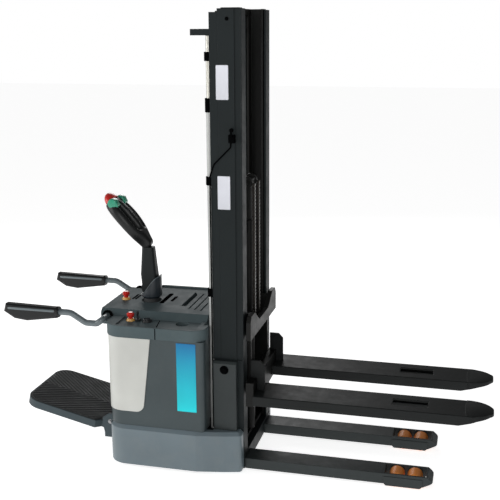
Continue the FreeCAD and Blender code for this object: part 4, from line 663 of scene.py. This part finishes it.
# %% Painted highlight along the collar's rim
bpy.ops.object.select_all(action="DESELECT")
bpy.ops.mesh.primitive_torus_add(major_radius=0.0556, minor_radius=0.0025,
                                 major_segments=CUP_SIDES, minor_segments=10, location=axis)
highlight_bead = bpy.context.object
highlight_bead.name = "collar_painted_highlight"
bpy.ops.object.transform_apply(location=True, rotation=True, scale=True)
for vertex in highlight_bead.data.vertices:
    out = Vector((vertex.co.x - axis.x, vertex.co.y, 0))
    vertex.co.z += rim_height(out)
# the bead's paler paint is a painted highlight on the rim
settle(highlight_bead, "steering", "arm_tube_and_highlight_paint")

# %% [markdown]
# ## Guard grips
#
# Each moulded grip is glossy, and the light it reflects runs as a pale stripe along its upper
# edge. That stripe is a painted highlight, given a real form because a flat stripe would stay
# flat in raking light: a round bar on either face of the grip, in the paler tube paint, rounded
# off at its ends and flattened to about half its depth.

# %% Painted highlights on the grips
GRIP_Y, GRIP_HALF = 0.310, 0.0225    # a grip's middle, and half its thickness
for side, sign in (("left", 1), ("right", -1)):
    highlight_beads = []
    for face in (-1, 1):
        y = sign * GRIP_Y + face * GRIP_HALF
        highlight_bead = start_rod("highlight_bead", (HEEL - 1.178, y, 0.8065), 0.0075, 0.262, "X", 20)
        bevel_edges(highlight_bead, 0.005, 3, lambda at, along: abs(along.x) < 0.5)
        pick(highlight_bead, "FACE", lambda at, normal: True)
        bpy.ops.transform.resize(value=(1, 0.55, 1), center_override=(0, y, 0))
        bpy.ops.object.mode_set(mode="OBJECT")
        highlight_beads.append(highlight_bead)
    # the beads' paler paint is a painted highlight along the glossy grip
    settle(join("grip_painted_highlight_" + side, highlight_beads), "guard_arm_" + side, "arm_tube_and_highlight_paint")

# %% [markdown]
# ## Mast fittings
#
# Clips, glands and grommets are all rings round a tube. A ring could be a tube primitive cut
# with a Boolean, but a round bar whose end faces are inset and then bridged is bored through
# cleanly and keeps tidy quads. Its outer rims get a small bevel.

# %% A ring
def ring(name, middle, inner, outer, depth, axis):
    """A round bar bored through: both ends inset, then bridged; its outer rims bevelled."""
    obj = start_rod(name, middle, outer, depth, axis, 32)
    pick(obj, "FACE", lambda at, normal: abs(normal["XYZ".index(axis)]) > 0.9)
    bpy.ops.mesh.inset(thickness=outer - inner, use_individual=True)
    bpy.ops.mesh.bridge_edge_loops()
    bpy.ops.object.mode_set(mode="OBJECT")
    bevel_edges(obj, 0.0015, 2, lambda at, along: abs(along["XYZ".index(axis)]) < 0.1
                and (at - Vector(middle)).length > math.hypot(outer, depth / 2) - 0.0006)
    return obj


print("ring helper ready")

# %% [markdown]
# ### Clips round the side cylinders
#
# Dark clips hold the side cylinders and the thinner rods above them to the mast. Each is a ring
# with a lug that reaches forward and a foot that lies on the column.

# %% Clips
RAM_X, RAM_Y = HEEL - 0.232, 0.242    # a side cylinder's axis
COLUMN_REAR = HEEL - 0.177            # the fixed column's rear face
LUG_HALF = 0.011


def clip(name, middle, inner, outer, height, lug_end):
    """A ring round a tube along Z, with a lug that runs forward to the column."""
    x, y, z = middle
    half = height / 2
    band = ring(name, middle, inner, outer, height, "Z")
    lug = start_block("lug", (x + inner + 0.002, y - LUG_HALF, z - half + 0.004),
                      (lug_end, y + LUG_HALF, z + half - 0.004))
    bevel_edges(lug, 0.002, 2, lambda at, along: abs(along.x) > 0.9)
    near, far = sorted((y - math.copysign(LUG_HALF, y), math.copysign(0.284, y)))
    foot = start_block("foot", (lug_end - 0.006, near, z - half), (lug_end, far, z + half))
    return join(name, [band, lug, foot])


clips = []
for sign in (1, -1):
    for level, inner in ((0.938, 0.0155), (1.495, 0.0155), (2.080, 0.0145)):
        clips.append(clip("clip", (RAM_X, sign * RAM_Y, level), inner, 0.0215, 0.042,
                          COLUMN_REAR))
settle(join("cylinder_clips", clips), "chassis", "matte_black_and_painted_shade")

# %% [markdown]
# ### Glands and grommets
#
# Where a rod leaves its cylinder sits a black gland, a tall ring. Where a guard arm's tube goes
# into the deck, a flat rubber grommet in matte black sits round the tube; its dark also paints
# the shade of the hole behind it. Both are the same ring in other sizes.

# %% Glands and grommets
glands = [ring("gland", (RAM_X, sign * RAM_Y, 1.855), 0.0145, 0.0207, 0.066, "Z")
          for sign in (1, -1)]
settle(join("cylinder_glands", glands), "chassis", "matte_black_and_painted_shade")
grommets_and_shade = [ring("grommet", (HEEL - 0.796, sign * 0.2355, 0.772), 0.0168, 0.0290, 0.009, "Y")
            for sign in (1, -1)]
# the rings' matte black is partly a rubber grommet's colour and partly painted shade for the
# hole round the tube
settle(join("arm_grommets_and_hole_shade", grommets_and_shade), "chassis", "matte_black_and_painted_shade")

# %% [markdown]
# ### Plates on the mast
#
# Two plates are stuck on the outside of the right-hand column. We leave them blank. Each is a
# sheet one millimetre thick with rounded corners, whose face is inset so that it has a rim.

# %% Blank plates on the right-hand column
MAST_PLATES = [
    # from the heel and above the floor: the lower rear corner, then the upper front corner
    ((-0.185, 1.884), (-0.125, 2.043)),
    ((-0.183, 1.365), (-0.121, 1.526)),
]
plates = []
for low, high in MAST_PLATES:
    plate = start_block("plate", (HEEL + low[0], -0.2888, low[1]),
                        (HEEL + high[0], -0.2878, high[1]))
    bevel_edges(plate, 0.004, 4, lambda at, along: abs(along.y) > 0.9)
    pick(plate, "FACE", lambda at, normal: normal.y < -0.9)
    bpy.ops.mesh.inset(thickness=0.0025, depth=-0.0002)
    bpy.ops.object.mode_set(mode="OBJECT")
    plates.append(plate)
settle(join("mast_plates", plates), "chassis", "plate_white")

# %% [markdown]
# ## The blue side plate
#
# The cover's side carries a tall plate that fades from blue at the top to cyan below. It stays
# blank. Its material reads the height in Object coordinates, stretches it to 0..1 between the
# plate's ends, and mixes the two blues before the shared finish adds its dust and grain.

# %% Sticker material
PLATE_LOW, PLATE_HIGH = 0.343, 0.702    # the plate's ends above the floor
sticker = materials["panel_paint"].copy()
sticker.name = "sticker_blue"
tree = sticker.node_tree
finish = next(node for node in tree.nodes if node.type == "GROUP")
split = tree.nodes.new("ShaderNodeSeparateXYZ")
tree.links.new(object_space(tree), split.inputs["Vector"])
height = remap(tree, split.outputs["Z"], PLATE_LOW, PLATE_HIGH, 0.0, 1.0)
fade = tree.nodes.new("ShaderNodeMix")
fade.data_type = "RGBA"
tree.links.new(height, fade.inputs["Factor"])
fade.inputs["A"].default_value = (0.003, 0.62, 0.68, 1)
fade.inputs["B"].default_value = (0.001, 0.13, 0.32, 1)
tree.links.new(fade.outputs["Result"], finish.inputs["Color"])
finish.inputs["Dust Color"].default_value = (0.02, 0.36, 0.46, 1)
finish.inputs["Dust"].default_value = 0.08
materials["sticker_blue"] = sticker
print("material", sticker.name)

# %% The plate itself
plate = start_block("side_plate", (HEEL - 0.384, -0.3729, PLATE_LOW),
                    (HEEL - 0.283, -0.3718, PLATE_HIGH))
bevel_edges(plate, 0.003, 4, lambda at, along: abs(along.y) > 0.9)
pick(plate, "FACE", lambda at, normal: normal.y < -0.9)
bpy.ops.mesh.inset(thickness=0.002, depth=0)
bpy.ops.object.mode_set(mode="OBJECT")
settle(plate, "chassis", "sticker_blue")

# %% [markdown]
# ## Bolts and caps
#
# Bolts hold the platform's hinge, and caps close the holes of the mast and its brackets. A
# hexagon bolt is a six-sided bar whose upper rim is bevelled and whose face is inset a little,
# on a round washer. One helper makes it at any seat, facing either way.

# %% Hexagon bolts
def hex_bolt(middle, radius, axis, outward):
    """A washer and bolt head, seated at this point, that stand outwards along the axis."""
    seat = Vector(middle)
    reach = Vector({"X": (1, 0, 0), "Y": (0, 1, 0), "Z": (0, 0, 1)}[axis]) * outward
    washer = start_rod("washer", seat + reach * 0.0008, radius * 1.5, 0.0022, axis, 28)
    bevel_edges(washer, 0.0006, 1, lambda at, along: (at - seat).dot(reach) > 0.0012)
    head = start_rod("head", seat + reach * (radius * 0.45), radius, radius * 0.95, axis, 6)
    rim = radius * 0.92 * 0.98
    bevel_edges(head, radius * 0.14, 2, lambda at, along: (at - seat).dot(reach) > rim)
    pick(head, "FACE", lambda at, normal: normal.dot(reach) > 0.95)
    bpy.ops.mesh.inset(thickness=radius * 0.22, depth=-radius * 0.06)
    bpy.ops.object.mode_set(mode="OBJECT")
    return [washer, head]


heads = []
for sign in (1, -1):
    heads += hex_bolt((HINGE_X, sign * 0.214, HINGE_Z), 0.0085, "Y", sign)
settle(join("hinge_bolts", heads), "chassis", "steel")

# %% Caps on the mast
heads = []
for sign in (1, -1):
    heads += hex_bolt((HEEL - 0.130, sign * 0.288, 2.250), 0.006, "Y", sign)
    heads += hex_bolt((HEEL - 0.153, sign * 0.320, 0.562), 0.015, "Y", sign)
# these heads are matte black: partly their own colour, partly painted shade for the holes they
# cover
settle(join("mast_caps_and_hole_shade", heads), "chassis", "matte_black_and_painted_shade")

# %% [markdown]
# ## Small plates on forks and legs
#
# A window weakens a fork's channel, so a flat bar is welded inside the foot of each side wall
# beside it. The bars are long blocks, every edge lightly bevelled as on rolled steel. Mirror
# copies them to the machine's other fork, which is sure to match.

# %% Bars beside the fork windows
FORK_MIDDLE = 0.215    # a fork's and a leg's middle line
FORK_FOOT = 0.3842     # just above the lower edge of a fork's walls
bars = []
for side in (-1, 1):
    inner = FORK_MIDDLE + side * 0.0700
    outer = FORK_MIDDLE + side * 0.0919
    bar = start_block("bar", (HEEL + 0.625, min(inner, outer), FORK_FOOT),
                      (HEEL + 0.887, max(inner, outer), 0.4000))
    bevel_edges(bar, 0.0010, 2, lambda at, along: True)
    bars.append(bar)
bars = join("window_bars", bars)
with_modifier(bars, "MIRROR", use_axis=(False, True, False))
settle(bars, "carriage", "fork_paint")

# %% [markdown]
# ### Rounded toes
#
# A fork's tip is rounded so that it finds its way into a pallet, and it rises underneath. The
# drawing's tip is cut off in straight lines. A flat round bar whose front half is stretched
# forms the half ellipse on top of it, and its lower ring follows the tip's slope.

# %% Rounded toes over the fork tips
TOE_START = HEEL + 1.025
TOE_HALF, TOE_REACH, TOE_TOP = 0.0999, 0.1247, 0.4343
SLOPE_START, SLOPE_LENGTH = 0.985, 0.087    # from the heel: where the tip's underside rises
SLOPE_RISE, CURL_RISE = 0.0230, 0.0110
toes = start_rod("fork_toes", (TOE_START, FORK_MIDDLE, TOE_TOP - 0.01), TOE_HALF, 0.020, "Z", 64)
bevel_edges(toes, 0.004, 2, lambda at, along: at.z > TOE_TOP - 0.001)
for vertex in toes.data.vertices:
    ahead = vertex.co.x - TOE_START
    vertex.co.x = TOE_START + (ahead * TOE_REACH / TOE_HALF if ahead > 0 else 0.1 * ahead)
    if vertex.co.z < TOE_TOP - 0.015:
        climb = (vertex.co.x - HEEL - SLOPE_START) / SLOPE_LENGTH
        slope = SLOPE_RISE * min(climb, 1) + CURL_RISE * max(0, climb - 1) / 0.9
        vertex.co.z = FORK_FOOT + slope
with_modifier(toes, "MIRROR", use_axis=(False, True, False))
settle(toes, "carriage", "fork_paint")

# %% [markdown]
# ### Wear plates
#
# Each straddle leg carries a deeper plate on both sides of its load wheels, with its lower
# corners cut off at an angle. A wide one-step bevel on just those two corners does it, and a
# very fine one takes the sharpness off the rest.

# %% Wear plates beside the load wheels
plates = []
for side in (-1, 1):
    inner = FORK_MIDDLE + side * 0.0596
    outer = FORK_MIDDLE + side * 0.0625
    plate = start_block("plate", (HEEL + 0.642, min(inner, outer), 0.0120),
                        (HEEL + 0.832, max(inner, outer), 0.0600))
    bevel_edges(plate, 0.012, 1, lambda at, along: abs(along.y) > 0.9 and at.z < 0.02)
    bevel_edges(plate, 0.0006, 1, lambda at, along: abs(along.y) < 0.5)
    plates.append(plate)
plates = join("wear_plates", plates)
with_modifier(plates, "MIRROR", use_axis=(False, True, False))
settle(plates, "chassis", "leg_paint")

# %% [markdown]
# ## Details of the deck
#
# The deck is moulded in two: a dark seam crosses the shelf and drops over the rim. A real gap
# would have to be cut into the solid. The joint is a hair's breadth, so a thin dark strip set
# into the surface reads as the gap.

# %% Seams
SEAM = [
    # from the heel: low corner, high corner, then how far the inner end leans back
    ((-0.4915, -0.3808, 0.7130), (-0.4865, -0.3778, 0.7700), 0),
    ((-0.4915, -0.3760, 0.7630), (-0.4865, -0.2335, 0.7646), -0.025),
]
strips = []
for low, high, lean in SEAM:
    strip = start_block("seam", (HEEL + low[0], *low[1:]), (HEEL + high[0], *high[1:]))
    if lean:
        pick(strip, "FACE", lambda at, normal: normal.y > 0.9)
        bpy.ops.transform.translate(value=(lean, 0, 0))
        bpy.ops.object.mode_set(mode="OBJECT")
    bevel_edges(strip, 0.0004, 1, lambda at, along: True)
    strips.append(strip)
settle(join("deck_seam", strips), "chassis", "matte_black_and_painted_shade")

# %% [markdown]
# ### The deck's slots
#
# The slots in the console are dark with shade, but the drawing's are shallow and catch the
# light. So the shade is painted: a thin matte black plate lies over each slot, its ends rounded
# as the slot's are and its upper face sunk a little inside a narrow rim.

# %% Painted shade over the deck's slots
SLOT_SHADES = [
    # ahead of the steering axis, width, right end, left end
    (0.069, 0.024, -0.052, 0.132), (0.112, 0.016, -0.004, 0.086),
    (-0.089, 0.010, -0.012, 0.078), (-0.105, 0.010, -0.012, 0.078),
]
shade_plates = []
for ahead, width, right, left in SLOT_SHADES:
    middle = STEER_X + ahead
    shade_plate = start_block("shade_plate", (middle - width / 2, right, 0.7976),
                        (middle + width / 2, left, 0.7990))
    bevel_edges(shade_plate, width * 0.45, 3, lambda at, along: abs(along.z) > 0.9)
    pick(shade_plate, "FACE", lambda at, normal: normal.z > 0.9)
    bpy.ops.mesh.inset(thickness=0.0015, depth=-0.0008)
    bpy.ops.object.mode_set(mode="OBJECT")
    shade_plates.append(shade_plate)
# the black plates are painted shade for the dark inside the slots
settle(join("slot_painted_shade", shade_plates), "chassis", "matte_black_and_painted_shade")

# %% [markdown]
# ### The charge gauge
#
# Beside the key sits a round gauge with a raised bezel and dark glass. A flat round bar with a
# bevelled rim gives the bezel, and the inset face inside it is the glass.

# %% Gauge glass
glass = start_rod("gauge_glass", (HEEL - 0.572, -0.262, 0.7768), 0.0185, 0.003, "Z", 36)
bevel_edges(glass, 0.0008, 2, lambda at, along: at.z > 0.778 and abs(along.z) < 0.1)
pick(glass, "FACE", lambda at, normal: normal.z > 0.9)
bpy.ops.mesh.inset(thickness=0.003, depth=-0.0006)
bpy.ops.object.mode_set(mode="OBJECT")
settle(glass, "chassis", "dark_glass")

# %% [markdown]
# ## The room
#
# The photograph is a studio picture on white, so there is only a plain pale floor. A white
# floor under soft light would still turn grey, so it glows a little by itself, as a lit studio
# table does, and keeps a faint shadow under the machine.

# %% Floor
bpy.context.scene.view_settings.view_transform = "Standard"
bpy.ops.object.select_all(action="DESELECT")
bpy.ops.mesh.primitive_plane_add(size=60)
floor = bpy.context.object
floor.name = "floor"
floor_paint = bpy.data.materials.new("floor_paint")
floor_paint.use_nodes = True
floor_shader = floor_paint.node_tree.nodes["Principled BSDF"]
floor_shader.inputs["Base Color"].default_value = (0.92, 0.92, 0.92, 1)
floor_shader.inputs["Roughness"].default_value = 0.8
floor_shader.inputs["Specular IOR Level"].default_value = 0.1
floor_shader.inputs["Emission Color"].default_value = (1, 1, 1, 1)
floor_shader.inputs["Emission Strength"].default_value = 0.78
floor.data.materials.append(floor_paint)
print("floor", tuple(round(side) for side in floor.dimensions[:2]), "m")

# %% [markdown]
# ### Backdrop
#
# A white sky would wash out the dark paint. Light Path tells whether the camera looks at the
# backdrop or the backdrop lights the machine: the first case stays pure white, the second is
# weaker, weakest from overhead, and stronger from the side that the photograph's light is on.

# %% A white backdrop that lights gently
LIT_SIDE = (-0.6, -0.8, 0)    # where most of the sky's light comes from
world = bpy.data.worlds.new("studio")
bpy.context.scene.world = world
world.use_nodes = True
tree = world.node_tree
backdrop = tree.nodes["Background"]
space = tree.nodes.new("ShaderNodeTexCoord")
split = tree.nodes.new("ShaderNodeSeparateXYZ")
tree.links.new(space.outputs["Generated"], split.inputs["Vector"])
overhead = remap(tree, split.outputs["Z"], 0.0, 0.8, 0.52, 0.16)
facing = tree.nodes.new("ShaderNodeVectorMath")
facing.operation = "DOT_PRODUCT"
tree.links.new(space.outputs["Generated"], facing.inputs[0])
facing.inputs[1].default_value = LIT_SIDE
side = tree.nodes.new("ShaderNodeMath")
side.operation = "MULTIPLY"
tree.links.new(overhead, side.inputs[0])
tree.links.new(remap(tree, facing.outputs["Value"], -1.0, 1.0, 0.35, 1.35), side.inputs[1])
seen = tree.nodes.new("ShaderNodeLightPath")
brightness = tree.nodes.new("ShaderNodeMix")
tree.links.new(seen.outputs["Is Camera Ray"], brightness.inputs["Factor"])
tree.links.new(side.outputs["Value"], brightness.inputs["A"])
brightness.inputs["B"].default_value = 1.0
tree.links.new(brightness.outputs["Result"], backdrop.inputs["Strength"])
backdrop.inputs["Color"].default_value = (1, 1, 1, 1)
print("backdrop", len(tree.nodes), "nodes")

# %% [markdown]
# ### Lamps
#
# Long soft highlights on the paint come from large lamps. Three squares, each 2.5 m or more
# across, all face the middle of the machine: a key light beside the camera, a fill from behind
# the rider, and a rim light from the far side that parts the dark mast from the background.

# %% Three area lamps
AIM = Vector((0, 0, 0.8))
LIGHTS = [
    # name, place, size, power
    ("key", (0.6, -5.0, 2.8), 2.6, 70),
    ("fill", (-4.8, -2.4, 2.0), 2.6, 80),
    ("rim", (-1.5, 4.5, 3.0), 2.5, 60),
]
for name, place, size, power in LIGHTS:
    bpy.ops.object.light_add(type="AREA", location=place)
    lamp = bpy.context.object
    lamp.name = name
    lamp.data.size = size
    lamp.data.energy = power
    lamp.rotation_euler = (AIM - Vector(place)).to_track_quat("-Z", "Y").to_euler()
print(len(LIGHTS), "lights")

# %% [markdown]
# ### Camera
#
# The camera stands where the photograph was taken: about 4.4 m to the machine's right and 2.2 m
# up, turned a little to the rear and looking down by less than fourteen degrees. Its angles
# give its three axes, and these are the columns of its matrix. The lens follows from the focal
# length that the photograph's edges gave, in pixels of a picture 500 pixels wide.

# %% Camera
CAMERA_PLACE = (1.1069, -4.4323, 2.2177)
FOCAL_PIXELS, PICTURE_PIXELS = 917.27, 500
YAW = math.radians(14.083)
PITCH = math.radians(13.734)
ROLL = math.radians(-0.289)
ahead = Vector((-math.sin(YAW) * math.cos(PITCH), math.cos(YAW) * math.cos(PITCH),
                -math.sin(PITCH)))
level = Vector((math.cos(YAW), math.sin(YAW), 0))
rise = level.cross(ahead)
right = level * math.cos(ROLL) + rise * math.sin(ROLL)
up = rise * math.cos(ROLL) - level * math.sin(ROLL)
camera = bpy.data.objects.new("camera", bpy.data.cameras.new("camera"))
bpy.context.scene.collection.objects.link(camera)
turn = Matrix((right, up, -ahead)).transposed()
camera.matrix_world = Matrix.Translation(CAMERA_PLACE) @ turn.to_4x4()
camera.data.sensor_width = 36
camera.data.lens = FOCAL_PIXELS * camera.data.sensor_width / PICTURE_PIXELS
bpy.context.scene.camera = camera
print("camera lens", round(camera.data.lens, 2), "mm")
